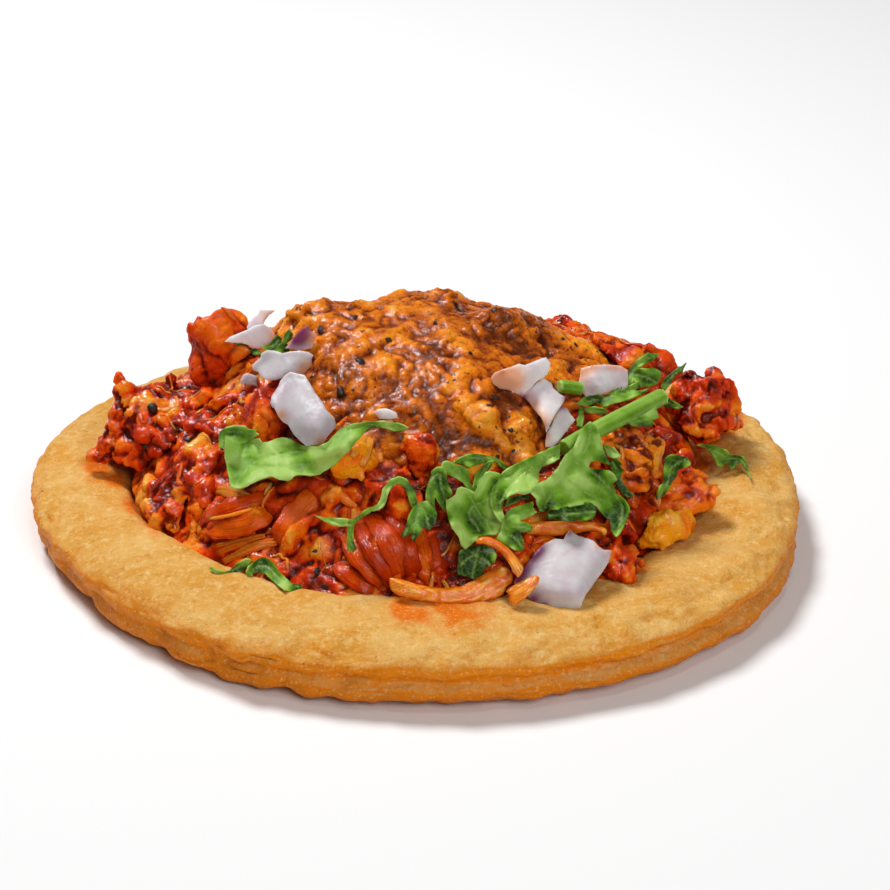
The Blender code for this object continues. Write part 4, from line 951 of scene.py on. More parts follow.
# Diced red onion.
# Raw dice, each one coat of the bulb thick, so flat and slightly bowed with clean cut sides.
# They are clouded white to lilac, with fine ridges, purple where the skin side shows, and
# stained orange where the salsa touches them.
#
# Each outline is drawn as the piece looks from the front, 26 degrees from above, in
# millimetres right and up on an upright sheet through the middle. From there it is laid back
# on its solid.
ONIONS = {  # name: outline, ridges, purple spots and stained spots (right, up, size)
    "onion_plate_left": ([
        (-24.9, 12), (-24.4, 12.7), (-23.6, 13.3), (-23.5, 14), (-22.6, 14.5), (-21.5, 14.4),
        (-20.8, 14.2), (-20.3, 14), (-19, 14.3), (-17.5, 14.4), (-16.3, 14.2), (-15.5, 13.7),
        (-15.8, 13.1), (-15.8, 12.2), (-16.4, 11.5), (-17.2, 10.7), (-18.1, 10.7), (-19.1, 11.2),
        (-20.2, 10.2), (-21.5, 9.9), (-22.6, 9.9), (-23.5, 10.5), (-24, 11.2), (-24.7, 11.4)
    ], [[(-19.1, 11.2), (-19.7, 12.7), (-20.3, 13.9)]], [], [(-16.3, 11.8, 1.4), (-17, 10.7, 1.1)]),
    "onion_plate_white": ([
        (-19.1, 11.2), (-17.9, 10.9), (-16.9, 10.7), (-16.1, 9.5), (-15.2, 7.9), (-14.1, 6.4),
        (-13.4, 5.2), (-12.3, 4.1), (-12.1, 3.2), (-12.3, 2.5), (-13.4, 1.2), (-14.1, 0), (-15.4, -0.1),
        (-16.6, -0.2), (-17.7, 0.8), (-18.6, 1.7), (-19.4, 3.1), (-20.2, 3.5), (-20.9, 4.4), (-21.5, 5.7),
        (-22.1, 6.4), (-21.9, 7.5), (-20.9, 8.9), (-20.6, 9.8), (-19.9, 10.6)
    ], [
        [(-19.1, 11.1), (-17.9, 9.3), (-16.8, 7.1), (-15.7, 5.3)],
        [(-14.6, 6.7), (-15.7, 5.4), (-16.8, 4.8), (-18.2, 4.1)],
    ], [], [(-14.3, 0.3, 1.1), (-20.4, 4.6, 0.9)]),
    "onion_wedge_left": ([
        (-29.1, 15.8), (-28.3, 16.5), (-26.9, 17.1), (-25.4, 17.7), (-24.4, 18.3), (-23.1, 18.5),
        (-22, 17.8), (-21.3, 16.7), (-21.8, 15.8), (-22.9, 15.2), (-23.6, 14.7), (-24.5, 14.8),
        (-25.3, 15.2), (-26.5, 15.6), (-27.8, 15.6)
    ], [[(-25.8, 16.9), (-25.1, 16), (-24.2, 15.1)]], [], [(-21.5, 16.7, 0.8)]),
    "onion_wedge_behind": ([
        (-25.3, 19), (-24.4, 19.9), (-23.6, 20.7), (-21.3, 20.6), (-22.2, 19.9), (-22.9, 19),
        (-23.3, 18.1), (-24.4, 18.1), (-25.3, 17.3), (-25.7, 17.9)
    ], [], [], [(-22.2, 19, 1.3)]),
    "onion_tip_purple": ([
        (-19.8, 14.8), (-19.1, 15.6), (-18.1, 16.9), (-17.2, 17.8), (-16.4, 18.3), (-15.9, 17.4),
        (-15, 16.9), (-15.4, 15.8), (-15.7, 14.8), (-16.8, 14.5), (-18.2, 14.5)
    ], [], [(-18.2, 16.3, 2), (-16.8, 17.6, 1.6)], [(-15.2, 16.3, 1.3)]),
    "onion_chip_left": ([
        (-26.7, 9.8), (-26.3, 10.7), (-25.6, 11), (-24.7, 10.7), (-24, 10.5), (-24.1, 9.7), (-24.3, 9.1),
        (-25.4, 9.2), (-26.5, 9.4)
    ], [[(-26.3, 10), (-24.4, 9.8)]], [], []),
    "onion_chip_front": ([
        (-6.4, 4.9), (-5.7, 5.5), (-4.4, 5.6), (-3.5, 5.3), (-2.8, 4.9), (-2.6, 4.1), (-3.8, 3.9),
        (-5.4, 4)
    ], [], [], [(-6.3, 4.6, 0.8)]),
    "onion_spear": ([
        (20.7, 12.5), (20.6, 11.8), (20.2, 10.8), (19.6, 10.3), (18.6, 9.7), (17.7, 8.7), (16.8, 7.9),
        (16.2, 7.5), (15.4, 7.9), (14.3, 8.4), (13, 8.6), (11.9, 9.3), (11.6, 10.3), (12.1, 11),
        (13.2, 11.5), (14.6, 11.9), (15.8, 12.4), (16.8, 12.2), (18, 12.7), (19.3, 13.2), (20, 13.4)
    ], [
        [(20, 13.3), (18.6, 12.2), (17.4, 10.1), (16.5, 7.6)],
    ], [(16.2, 7.5, 0.5), (13.3, 11.2, 0.5)], [(13, 10, 2.6), (15.1, 10.1, 1.9)]),
    "onion_plate_right": ([
        (25.3, 11.7), (27.1, 12.2), (29.4, 12.3), (31.4, 12.1), (32.5, 11.4), (32.5, 9), (31.6, 8.1),
        (30.2, 8.4), (28.3, 7.6), (26.1, 7.3), (25.5, 8.1), (24.9, 9.3), (25.2, 10.6)
    ], [
        [(25.7, 10.1), (28.6, 10.6), (31.7, 10.6)],
        [(25.8, 8.7), (28.6, 9.2), (31.4, 9.3)],
    ], [], [(25.2, 10.9, 1.4), (27.1, 12.2, 1.1), (30.2, 12.2, 0.9), (32, 11.9, 0.8)]),
    "onion_lilac_high": ([
        (19.7, 10.2), (20.8, 9.5), (21.1, 8.7), (22.1, 7.8), (23, 7.3), (22.4, 6.2), (21.8, 5.3),
        (21.1, 4.1), (20.5, 2.8), (20, 1.9), (19.9, 2.8), (19.3, 4.1), (18, 5.6), (17.4, 6.5),
        (16.8, 7.2), (16.2, 7.4), (17.2, 8.3), (18.6, 9.5)
    ], [], [(16.5, 7.4, 0.8), (23, 7.3, 0.5)], [(17.7, 5.6, 1.4), (19.3, 3.7, 1.4)]),
    "onion_lilac_low": ([
        (22.4, 6.1), (23.2, 5.6), (23.9, 4.5), (24.5, 3.8), (23.6, 2.8), (22.7, 1.6), (21.8, 0.3),
        (21, -0.3), (19.9, -0.3), (19.9, 0.6), (20.1, 1.9), (20.7, 2.8), (21.3, 4.1), (21.9, 5.3)
    ], [], [(22.5, 5.9, 0.9)], [(20, 1.2, 0.8)]),
    "onion_large_front": ([
        (23.6, -12.9), (24, -13.3), (25, -13.9), (26.4, -14.3), (27.2, -14.6), (28.1, -15.5), (28.8, -16),
        (30.1, -16.1), (29.9, -16.7), (29.6, -17.8), (29, -18.8), (28.4, -19.7), (27.6, -20.7),
        (26.8, -21.9), (26.1, -22.8), (25.6, -23.9), (25.3, -25), (25.1, -25.8), (24.7, -25.5),
        (24.2, -25.1), (22.7, -24.9), (21.2, -24.8), (19.8, -24.7), (18.8, -24.4), (17.8, -23.7),
        (17, -23.1), (15.9, -22.2), (15.1, -21.2), (15.4, -20.2), (16.3, -19.7), (16.6, -18.8),
        (17.6, -17.5), (18.4, -16.3), (19.5, -15.3), (20.5, -14.7), (21.4, -14.3), (22.7, -14.4),
        (23.1, -13.6)
    ], [
        [(23.4, -18.3), (25.1, -18.8), (27.6, -19.2)],
        [(18.4, -18.3), (21.5, -17.3), (23.9, -15.1)],
        [(20.8, -20.2), (23.3, -20.7), (26.1, -21.8)],
    ], [
        (16.5, -19.2, 1.3), (17.8, -17.2, 1.3), (19.1, -16, 1.1), (15.6, -20.7, 1), (18.1, -23.6, 1.3),
        (23.4, -13.3, 0.7), (19.8, -24.6, 0.7),
    ], [(29.9, -16.3, 0.5), (25, -25.6, 0.7), (27.9, -15.5, 0.5)]),
}
ONION_THICK = 1.5
ONION_STEP = 0.36  # from point to point
CLEAR_DICE = {  # name: how clear it is, from 0 where it is clouded
    "onion_plate_white": 1.0, "onion_plate_left": 0.8, "onion_chip_left": 0.8, "onion_large_front": 0.55,
}
ONION_WHITE = (0.79, 0.75, 0.745)
ONION_LILAC = (0.70, 0.585, 0.63)
ONION_PURPLE = (0.22, 0.030, 0.12)
ONION_STAIN = (0.72, 0.24, 0.03)
ONION_RIDGE = (0.70, 0.68, 0.73)
ONION_CLEAR = (0.62, 0.61, 0.63)


def is_inside(rim, u, v):
    inside = False
    for a, b in zip(rim, rim[1:] + rim[:1]):
        if (a.y > v) != (b.y > v) and u < a.x + (v - a.y) / (b.y - a.y) * (b.x - a.x):
            inside = not inside
    return inside


def filled(rim, step):
    """Points and triangles that fill an outline, the points about a step apart."""
    low_u, low_v = min(p.x for p in rim), min(p.y for p in rim)
    high_u, high_v = max(p.x for p in rim), max(p.y for p in rim)
    inner = []
    for row in range(int((high_v - low_v) / (0.87 * step)) + 1):
        v = low_v + row * 0.87 * step
        u = low_u + (row % 2) * 0.5 * step
        while u < high_u:
            if is_inside(rim, u, v) and min((p - Vector((u, v))).length for p in rim) > 0.55 * step:
                inner.append(Vector((u, v)))
            u += step
    count = len(rim)
    edges = [(k, (k + 1) % count) for k in range(count)]
    points, _, faces, _, _, _ = geometry.delaunay_2d_cdt(rim + inner, edges, [list(range(count))], 1, 1e-5)
    return points, faces


def distance_to(path, point):
    """How far a point is from a path of points, and how far along the path the nearest place is."""
    best, at, run = 1e9, 0.0, 0.0
    for a, b in zip(path, path[1:]):
        step = b - a
        share = held((point - a).dot(step) / max(step.length_squared, 1e-9))
        away = (a + step * share - point).length
        if away < best:
            best, at = away, run + share * step.length
        run += step.length
    return best, at


def laid_back(points, faces, rest, under, room, passes):
    """How far from the eye each point lies: on its solid, and smoothly on past the solid's rim."""
    near = [set() for _ in points]
    for face in faces:
        for k, corner in enumerate(face):
            near[corner].update((face[k - 1], face[(k + 1) % len(face)]))
    near = [sorted(group) for group in near]
    behind = [under.ray_cast(FRONT_EYE, sight(*point))[3] for point in points]
    hits = [rest.ray_cast(FRONT_EYE, sight(*point))[3] for point in points]
    if sum(hit is not None for hit in hits) < 0.1 * len(hits):
        hits = behind
    known = [hit for hit in hits if hit is not None]
    far = [hit if hit is not None else sum(known) / len(known) for hit in hits]
    for _ in range(60):
        far = [
            hit if hit is not None else sum(far[k] for k in group) / len(group)
            for hit, group in zip(hits, near)
        ]
    for _ in range(passes):
        far = [0.4 * own + 0.6 * sum(far[k] for k in group) / len(group) for own, group in zip(far, near)]
        far = [min(own, back - room) if back is not None else own for own, back in zip(far, behind)]
    return far


def sheet_piece(name, node, outline, step, soft, under, room, passes, shaped):
    """A thin piece laid on its solid. shaped gives each point its rise and its marks by name."""
    rim = flowing(outline, 0.85 * step, soft=soft)
    points, faces = filled(rim, step)
    far = laid_back(points, faces, surface_of(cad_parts[node]), under, room, passes)
    shape = bmesh.new()
    kept = []
    for point, reach in zip(points, far):
        here = Vector(point)
        rise, marks = shaped(here, min((here - other).length for other in rim))
        shape.verts.new(FRONT_EYE + sight(*here) * (reach - rise))
        kept.append(marks)
    layers = {mark: shape.verts.layers.float.new(mark) for mark in kept[0]}
    shape.verts.ensure_lookup_table()
    for vert, marks in zip(shape.verts, kept):
        for mark, value in marks.items():
            vert[layers[mark]] = value
    for face in faces:
        shape.faces.new([shape.verts[corner] for corner in face])
    piece = finished_mesh(shape, name)
    if sum(face.normal.y * face.area for face in piece.data.polygons) > 0:
        edit(piece, (bpy.ops.mesh.flip_normals, {}))
    return piece


def soft_spot(spots, point):
    """How much the spots, each (right, up, size), colour a point: 0 to 1."""
    return held(sum(math.exp(-(((point - Vector((u, v))).length / size) ** 2)) for u, v, size in spots))


onion_finish = finish_of("red_onion", Roughness=0.48, Subsurface_Weight=0.6, Subsurface_Scale=0.0016,
                         Subsurface_Radius=(1.0, 0.80, 0.90), Specular_IOR_Level=0.35, Coat_Weight=0.12,
                         Coat_Roughness=0.2)
cloud = ramp(onion_finish, grain(onion_finish, 2.6, 4.0, 0.55), (0.34, ONION_LILAC), (0.60, ONION_WHITE))
ridge_share = weaker(onion_finish, 0.35, attribute(onion_finish, "ridge"))
cloud = mixed(onion_finish, ridge_share, cloud, ONION_RIDGE)
cloud = mixed(onion_finish, attribute(onion_finish, "purple"), cloud, ONION_PURPLE)
cloud = mixed(onion_finish, attribute(onion_finish, "stain"), cloud, ONION_STAIN)
cloud = mixed(onion_finish, attribute(onion_finish, "clear"), cloud, ONION_CLEAR, "MULTIPLY")
colour_and_relief(onion_finish, cloud, None, [(grain(onion_finish, 0.6, 3.0, 0.5), 0.05)])
topping_bed = surface_of(heap, salsa, *rind_pieces)
for number, (name, (outline, ridges, purple, stain)) in enumerate(ONIONS.items()):
    node = "onion_wedge_left" if name == "onion_wedge_behind" else name
    paths = [flowing(ridge, 0.5, closed=False) for ridge in ridges]

    def cut_face(here, to_rim):
        to_ridge = min([distance_to(path, here)[0] for path in paths] or [9.0])
        ridge = math.exp(-((to_ridge / 0.14) ** 2))
        rise = 0.09 * ridge - 0.10 * min(1.0, to_ridge / 2.5)
        rise += 0.04 * lumps(Vector((here.x, here.y, number)), 2.0)
        rounding = 0.10 * max(0.0, 1.0 - to_rim / 0.3) ** 2
        return rise - rounding, {
            "ridge": ridge, "purple": soft_spot(purple, here), "stain": 0.75 * soft_spot(stain, here),
            "clear": CLEAR_DICE.get(name, 0.0),
        }

    piece = sheet_piece(name + "_dice", node, outline, ONION_STEP, 0.0, topping_bed, 0.8, 20, cut_face)
    work(piece, "SOLIDIFY", thickness=ONION_THICK * MM, offset=-1.0)
    work(piece, "BEVEL", width=0.10 * MM, segments=1, limit_method="ANGLE", angle_limit=math.radians(50))
    place_on_root(piece, onion_finish, "red_onion", node, crisp=True)
for number, node in enumerate(("onion_back_left", "onion_back_right")):
    piece = copy_of(node, node + "_dice")
    work(piece, "BEVEL", width=0.22 * MM, segments=2, limit_method="ANGLE", angle_limit=math.radians(35))
    work(piece, "REMESH", mode="VOXEL", voxel_size=0.25 * MM)
    work(piece, "SMOOTH", factor=0.5, iterations=2)
    lower = Vector((0, 0, 1.6))  # out of sight from the front
    move_points(piece, lambda place, normal: normal * (0.12 * lumps(place, 1.8, number)) - lower)
    move_points(piece, lambda place, normal: normal * (0.75 * min(0.3, lumps(place, 4.2, number + 3)) - 0.1))
    ridge, purple = (piece.data.attributes.new(name, "FLOAT", "POINT") for name in ("ridge", "purple"))
    for vert, mark, stain in zip(piece.data.vertices, ridge.data, purple.data):
        mark.value = 0.3 * max(0.0, lumps(vert.co / MM, 0.9, 4.0))
        stain.value = max(0.0, lumps(vert.co / MM, 5.0, 8.0 + number))
    place_on_root(piece, onion_finish, "red_onion", node)

# Torn cilantro.
# Thin, soft leaves with toothed lobes, a pale rib down each lobe, and their edges lifted or
# rolled. They lie over the heap, and the large ones were folded when they were dropped on it.
# The darkest green is painted shade. The palest green is the pale ribs and veins, and also a painted sheen
# where the shade value is high.
LEAF_DARK_IN_SHADE = (0.010, 0.045, 0.001)
LEAF_GREEN = (0.070, 0.185, 0.003)
LEAF_LIGHT = (0.165, 0.35, 0.016)
LEAF_PALE_RIB_AND_SHEEN = (0.36, 0.55, 0.12)
LEAF_THICK = 0.22
LEAF_STEP = 0.32
# Painted light and shade on the leaves: darker where they lie deep in folds and under other leaves, lighter
# where they stand up.
LEAF_SHADING_SPOTS = [  # as seen from the front: right, up, how wide, how much lighter (above 0) or darker
    (31.4, -11.6, 2.4, -0.40), (27.0, -8.6, 2.4, -0.14), (22.0, -8.4, 2.0, -0.20), (24.0, -3.6, 2.2, 0.16),
    (-27.8, -4.2, 1.8, -0.16), (-26.4, -0.4, 1.4, -0.14), (-12.0, -1.0, 2.4, -0.10), (8.8, -13.0, 2.2, -0.16),
    (6.0, -9.6, 1.8, -0.22), (11.8, -6.4, 1.6, -0.20), (14.8, -5.2, 1.8, 0.12), (16.6, -6.4, 1.4, -0.22),
    (2.0, -10.5, 2.0, -0.10), (28.4, -5.6, 1.8, 0.10), (12.6, -10.0, 1.2, 0.16), (29.0, -12.0, 1.6, -0.25),
]
# Low shade values paint leaves that lie under others in shade, such as under_leaf, curled_under and
# behind_lobe; the high values of long_leaf paint its pale sheen.
LEAVES = {  # name: node, shade inside and at the edge, lift, outline, ribs
    "long_leaf": ("cilantro_long_leaf", 0.80, 0.84, 0.35, [
        (-1, 2.6), (-2.4, 3.2), (-4.2, 3.6), (-6, 3.5), (-7.6, 3.4), (-9.4, 3.2), (-10.7, 2.9),
        (-11.6, 2.3), (-12.5, 1.4), (-13.3, 0.5), (-14, 0), (-15, -0.2), (-16.1, -0.2), (-17, -0.1),
        (-17.9, 0.3), (-19.2, 0.9), (-20.6, 1.1), (-21.2, 1), (-22.4, 0.5), (-23.4, 0.4), (-23.9, 1),
        (-24.8, 0.8), (-25.9, 0.3), (-27.4, 0.4), (-28.8, 1.2), (-29, -0.6), (-29, -2.1), (-28.7, -3.5),
        (-28.4, -4.8), (-28, -6.4), (-26.8, -6.6), (-25.9, -6.4), (-24.8, -5.8), (-23.5, -5.2),
        (-22.4, -4.8), (-21.7, -4.8), (-20.8, -5.3), (-19.4, -5.5), (-19, -5.3), (-18.5, -4.7),
        (-17.9, -4.5), (-15.9, -4.6), (-14.7, -4.4), (-13.4, -3.8), (-12.3, -3), (-11.2, -1.9),
        (-10, -0.8), (-9.1, 0.3), (-8.2, 1.4), (-7.6, 2.1), (-6.7, 2.7), (-5.6, 2.7), (-4.4, 2.5),
        (-3.1, 2.1), (-2, 2.2)
    ], [
        [(-27.3, -5.9), (-25.5, -3.5), (-23.5, -2.1), (-21.2, -1.5), (-17.9, -1), (-15.6, -0.8),
         (-13.4, -0.3), (-11.6, 1), (-9.8, 2.5), (-6.7, 3.1), (-1.3, 2.6)],
        [(-25.3, -3.3), (-21.9, -3.3), (-17.9, -3.1), (-13.6, -3.1)],
        [(-23.5, -2.1), (-24.6, 0.1), (-25.7, 0.1)],
    ]),
    "long_leaf_fold": ("cilantro_long_leaf_fold", 0.6, 0.66, 0.9, [
        (-30, 1.8), (-29.1, 2.5), (-27.5, 2.9), (-25.7, 2.8), (-25.6, 2.4), (-24.3, 2.3), (-24.6, 1.9),
        (-23.9, 1.6), (-24.6, 1.2), (-25.3, 0.2), (-26, 0), (-27.1, 0.2), (-28, 0.7), (-28.8, 1.2),
        (-28.9, -0.2), (-29.1, -0.5), (-29.9, -0.3)
    ], [
        [(-29.4, 0.1), (-29.3, 1.7), (-27.7, 2.1), (-24.4, 1.6)],
    ]),
    "sprig": ("cilantro_sprig", 0.5, 0.62, 0.4, [
        (-15.4, -10.7), (-13.2, -11.2), (-13.1, -11), (-11.8, -11.3), (-9.9, -11.4), (-8.9, -11.1),
        (-7.6, -10), (-5.8, -9.1), (-5.2, -8), (-4.8, -6.6), (-3.9, -5.5), (-2.4, -4.9), (-1.3, -5.3),
        (-0.2, -6.6), (0.3, -8.2), (0.3, -9.4), (-0.4, -9.5), (-0.8, -8.2), (-1.5, -6.6), (-2.4, -5.9),
        (-3.5, -6.1), (-4.3, -7.5), (-4.7, -9.1), (-5.6, -9.8), (-6.7, -10.2), (-8, -11.1), (-8.9, -11.7),
        (-10, -12.4), (-11.3, -12.3), (-12.7, -12), (-14, -11.4)
    ], [
        [(-15.4, -10.7), (-12.7, -11.6), (-10, -11.9), (-8.5, -11.2), (-6.7, -10), (-5.1, -9.1),
         (-4.5, -7.1), (-3.5, -5.7), (-2.2, -5.3), (-0.9, -6.7), (-0.1, -8.9)],
    ]),
    "sprig_fork": ("cilantro_sprig_fork", 0.5, 0.6, 0.3, [
        (-9.9, -11.4), (-9.1, -11.6), (-9.3, -12.3), (-9.6, -13.3), (-9.5, -14.5), (-8.9, -15.7),
        (-9.3, -16.2), (-9.9, -16.1), (-10.3, -15.4), (-10.4, -14), (-10.3, -12.4)
    ], [
        [(-9.6, -11.5), (-9.9, -13.3), (-9.8, -14.9), (-9.4, -16)],
    ]),
    "lobe_left": ("cilantro_lobe_left", 0.2, 0.28, 0.2, [
        (0.4, -8.9), (1.3, -8.6), (1.9, -8.7), (2.7, -9.5), (3.3, -10.5), (3.2, -11.6), (2.7, -12.4),
        (2.2, -12.9), (1.6, -12.8), (1.1, -12.4), (1, -13.2), (0.4, -14), (-0.3, -14.7), (-0.6, -14.3),
        (-0.4, -13.4), (-1, -13.7), (-1.8, -14), (-1.9, -13.6), (-1.5, -12.6), (-1, -11.4), (-0.7, -10.5),
        (-0.2, -9.5)
    ], [
        [(0.8, -8.7), (0.6, -10.2), (-0, -11.9), (-0.3, -14.3)],
        [(0.8, -8.9), (1.6, -10.5), (2.1, -12.6)],
        [(0.6, -9.5), (-0.7, -11.8), (-1.7, -13.8)],
    ]),
    "ribbon_left": ("cilantro_curl_top", 0.28, 0.75, 0.3, [
        (1.8, -8.7), (1.8, -6.9), (2.2, -5.2), (2.7, -4.1), (3.7, -3.6), (4.6, -4.1), (5, -5.7),
        (5.7, -7.6), (4.8, -8.2), (4.6, -10.2), (4, -9.5), (3.4, -8.6), (3, -7.9), (3, -9.2),
        (3.3, -10.5), (2.6, -9.7)
    ], [
        [(2.2, -8.9), (2.2, -6.8), (2.7, -5), (3.8, -4.1)],
        [(3.8, -4.1), (4, -6.5), (4.8, -8.2)],
    ]),
    "ribbon_top": ("cilantro_curl_top", 0.55, 0.62, 1.0, [
        (4.2, -2.7), (5, -2.5), (5.9, -2.9), (7.2, -3.2), (8, -3.7), (8.2, -4.2), (8.5, -5.7), (9, -7.1),
        (8.5, -7.3), (8, -6.6), (7.4, -5.7), (6.6, -5.2), (5.6, -4.8), (4.6, -4.2), (3.4, -4.1),
        (2.6, -4.5), (2.6, -4), (3.4, -3.5), (4.2, -3.4)
    ], [
        [(4.5, -3.1), (6.6, -3.9), (7.7, -5.3), (8.7, -7.1)],
    ]),
    "ribbon_back": ("cilantro_curl_top", 0.4, 0.6, 0.2, [
        (5.9, -2.7), (6.9, -2), (7.9, -1.5), (9.1, -1.3), (10.6, -1.5), (12.2, -1.9), (13, -2.5),
        (14.1, -3.3), (13.8, -3.9), (13, -3.3), (12.4, -2.5), (11.9, -2.5), (10.8, -2.5), (9.8, -2.9),
        (8.8, -3.2), (8.2, -3.3), (7.2, -3.1)
    ], [
        [(6.1, -2.7), (8.2, -2.1), (11.4, -1.9), (13.8, -3.6)],
    ]),
    "ribbon_down": ("cilantro_curl_top", 0.68, 0.72, 0.8, [
        (11.9, -2.5), (11.6, -3.1), (10.6, -4.5), (10, -6.1), (9.4, -7.3), (8.9, -6.8), (9, -5.7),
        (9.3, -4.5), (10.1, -3.6), (11.1, -2.6)
    ], [
        [(11.6, -2.7), (10, -4.7), (9.2, -6.9)],
    ]),
    "big_leaf": ("cilantro_big_leaf", 0.60, 0.80, 0.3, [
        (6.4, -6.6), (7.2, -6.5), (8.2, -6.9), (9, -7.3), (9.8, -6.1), (10.6, -4.5), (11.4, -4.1),
        (13, -4.5), (12.4, -6), (11.6, -7.1), (11.5, -8.4), (11.9, -10), (12.7, -11.1), (13.2, -11.8),
        (13.2, -13.2), (12.2, -13.6), (10.8, -13.7), (9.8, -13.8), (9.3, -14.5), (8.5, -15.3),
        (7.7, -15.9), (7.1, -15), (6.6, -14), (5.8, -12.9), (5.1, -11.4), (4.8, -9.8), (4.7, -8.5),
        (6.3, -7.6)
    ], [
        [(8.2, -7.1), (9.1, -9.2), (10.6, -11.4), (12, -13.4)],
        [(9.1, -9.2), (11.1, -8.2), (12.4, -5.7)],
        [(10.6, -11.4), (12.2, -11.4)],
        [(9.1, -9.2), (8.2, -10.5), (9.8, -13.1)],
    ]),
    "under_leaf": ("cilantro_big_leaf", 0.12, 0.16, 0.0, [
        (7.7, -15.6), (8.8, -15.3), (10.8, -15.3), (12, -15.9), (12.4, -16.6), (12, -17.7), (11.4, -18.5),
        (10.6, -18.8), (10.4, -19.6), (8.8, -20.4), (7.9, -20.1), (6.5, -19.7), (6.6, -18.2), (6.7, -16.6)
    ], [
        [(9.8, -15.5), (9.3, -17.6), (8.8, -20.3)],
        [(9.5, -16.6), (8, -17.4), (6.7, -18.5)],
        [(9.5, -17.1), (10.8, -17.6), (11.4, -18.4)],
    ]),
    "lobe_right": ("cilantro_lobe_right", 0.44, 0.62, 0.2, [
        (13.3, -11.6), (14, -10.3), (15.1, -9.5), (16.2, -9.2), (17.8, -8.7), (18, -9.2), (17.8, -9.7),
        (18.6, -10.2), (17.8, -10.8), (16.5, -11.4), (15.9, -11.6), (16.9, -11.8), (17.5, -12.1),
        (18, -12.7), (17.7, -13.2), (16.2, -13.4), (15.4, -13.2), (16.2, -13.7), (16.6, -14.5),
        (16.7, -15.8), (16.2, -16.1), (15.1, -15.9), (14.4, -15.6), (13, -14.7), (12.4, -14.3),
        (13, -13.2)
    ], [
        [(12.7, -13.7), (14.3, -11.1), (16.2, -10.2), (18.5, -10)],
        [(13.2, -13.1), (15.4, -12.4), (17.8, -12.8)],
        [(13, -13.5), (14.9, -14), (16.4, -15.6)],
    ]),
    "behind_lobe": ("cilantro_lobe_right", 0.15, 0.25, 0.0, [
        (14, -9.2), (14.3, -8.2), (15.4, -7.8), (17.3, -7.6), (17.7, -8), (16.2, -8.7), (14.9, -9),
        (13.8, -9.6)
    ], [
        [(14, -9.4), (17.5, -7.8)],
    ]),
    "sheath": ("cilantro_sheath", 0.8, 0.86, 0.3, [
        (22.1, 0), (20.2, -0.7), (18.3, -1.6), (16.2, -2.6), (14.6, -3.4), (13.5, -4.2), (12.5, -5.3),
        (11.9, -6.5), (11.5, -7.9), (11.6, -9.2), (12, -10.3), (12.8, -11.4), (13.2, -11.9),
        (13.4, -10.8), (13.3, -9.5), (13.6, -8.6), (14.3, -7.8), (15.4, -7.4), (16.7, -7.6), (17.7, -7.3),
        (18.6, -6.3), (18.9, -5.3), (18.9, -4.2), (19.4, -3.3), (22.1, -2)
    ], [
        [(22.1, -0.7), (18.3, -2.3), (15.4, -3.6), (13.2, -5.3), (12.2, -7.6), (12.4, -9.5), (13.2, -11.8)],
        [(22.1, -1.2), (18.3, -2.9), (16.2, -4.5), (14.3, -6.5), (13, -8.9), (13.2, -11.4)],
        [(19.4, -2.9), (17, -4.5), (17.3, -6.6)],
    ]),
    "curled_leaf": ("cilantro_curled_leaf", 0.62, 0.74, 0.4, [
        (26.8, 3.5), (27.6, 2.8), (28.3, 1.3), (28.7, -0.5), (29.2, -1.7), (29.8, -3), (28.9, -2.8),
        (27.8, -2.4), (26.8, -2.6), (26.5, -3.5), (28, -3.7), (29.6, -3.9), (30.3, -4.6), (30.8, -5.4),
        (30.1, -6), (30.7, -7.5), (31.8, -8.2), (32.6, -9.5), (32.6, -10.8), (31.9, -12.4), (30.7, -14),
        (29.9, -12.9), (29.8, -11.7), (28.7, -10.6), (27.7, -9.3), (26.1, -9), (24.2, -9.3), (22, -9.7),
        (19.9, -10.1), (19.2, -10.2), (18.6, -9.2), (18.5, -8.2), (17.7, -7.4), (17.8, -6.8), (19, -5.7),
        (20.1, -5.3), (22.1, -3.1), (22.4, -2.6), (23.1, -1.4), (24.2, -0.3), (24.7, 0.8), (25.1, 2.2),
        (26, 3)
    ], [
        [(26.7, 3.2), (26.4, 0), (24.4, -2.6), (22.9, -5), (20.9, -6.9)],
        [(24.4, -2.6), (28.2, -5), (31.6, -9.2), (30.8, -13.6)],
        [(22.9, -5), (25.9, -7.2), (28.2, -8.4)],
        [(20.9, -6.9), (19.8, -9.6)],
    ]),
    "curled_under": ("cilantro_curled_leaf", 0.08, 0.08, 0.0, [
        (20.4, -11.3), (20.1, -10.6), (21.8, -9.7), (24.2, -9.1), (26.9, -8.8), (27.7, -9.6),
        (27.5, -10.6), (26.5, -11.3), (23.6, -11.6)
    ], [
        [(20.4, -10.8), (27.4, -10.2)],
    ]),
    "tip_pale": ("cilantro_curled_leaf", 0.75, 0.8, 0.2, [
        (28.8, 0), (30.3, -0.5), (31.5, -1.7), (30.3, -2), (29.5, -1.8), (29.2, -1.3)
    ], [
        [(28.9, -0.2), (31.4, -1.7)],
    ]),
    "tip_dark": ("cilantro_curled_leaf", 0.18, 0.22, 0.1, [
        (29.8, -2.6), (30.7, -2.1), (31.7, -3.1), (31.1, -3.2), (32, -3.9), (31.4, -4.1), (31.6, -5.4),
        (32.7, -7), (33.6, -7.7), (32.6, -8), (31.6, -7.4), (30.7, -6), (30.3, -4.8)
    ], [
        [(30.3, -2.6), (31.2, -4.6), (33.4, -7.7)],
    ]),
    "back_leaf": ("cilantro_back_leaf", 0.28, 0.36, 0.3, [
        (24.8, 6.2), (25.8, 7.3), (28, 7.7), (28.3, 7.3), (29.6, 7.9), (30.1, 8.3), (31.5, 8.9),
        (31.5, 8.2), (32.5, 8.9), (34.3, 9.6), (34.4, 8.9), (33.6, 8.3), (34.8, 8.4), (35.9, 8.8),
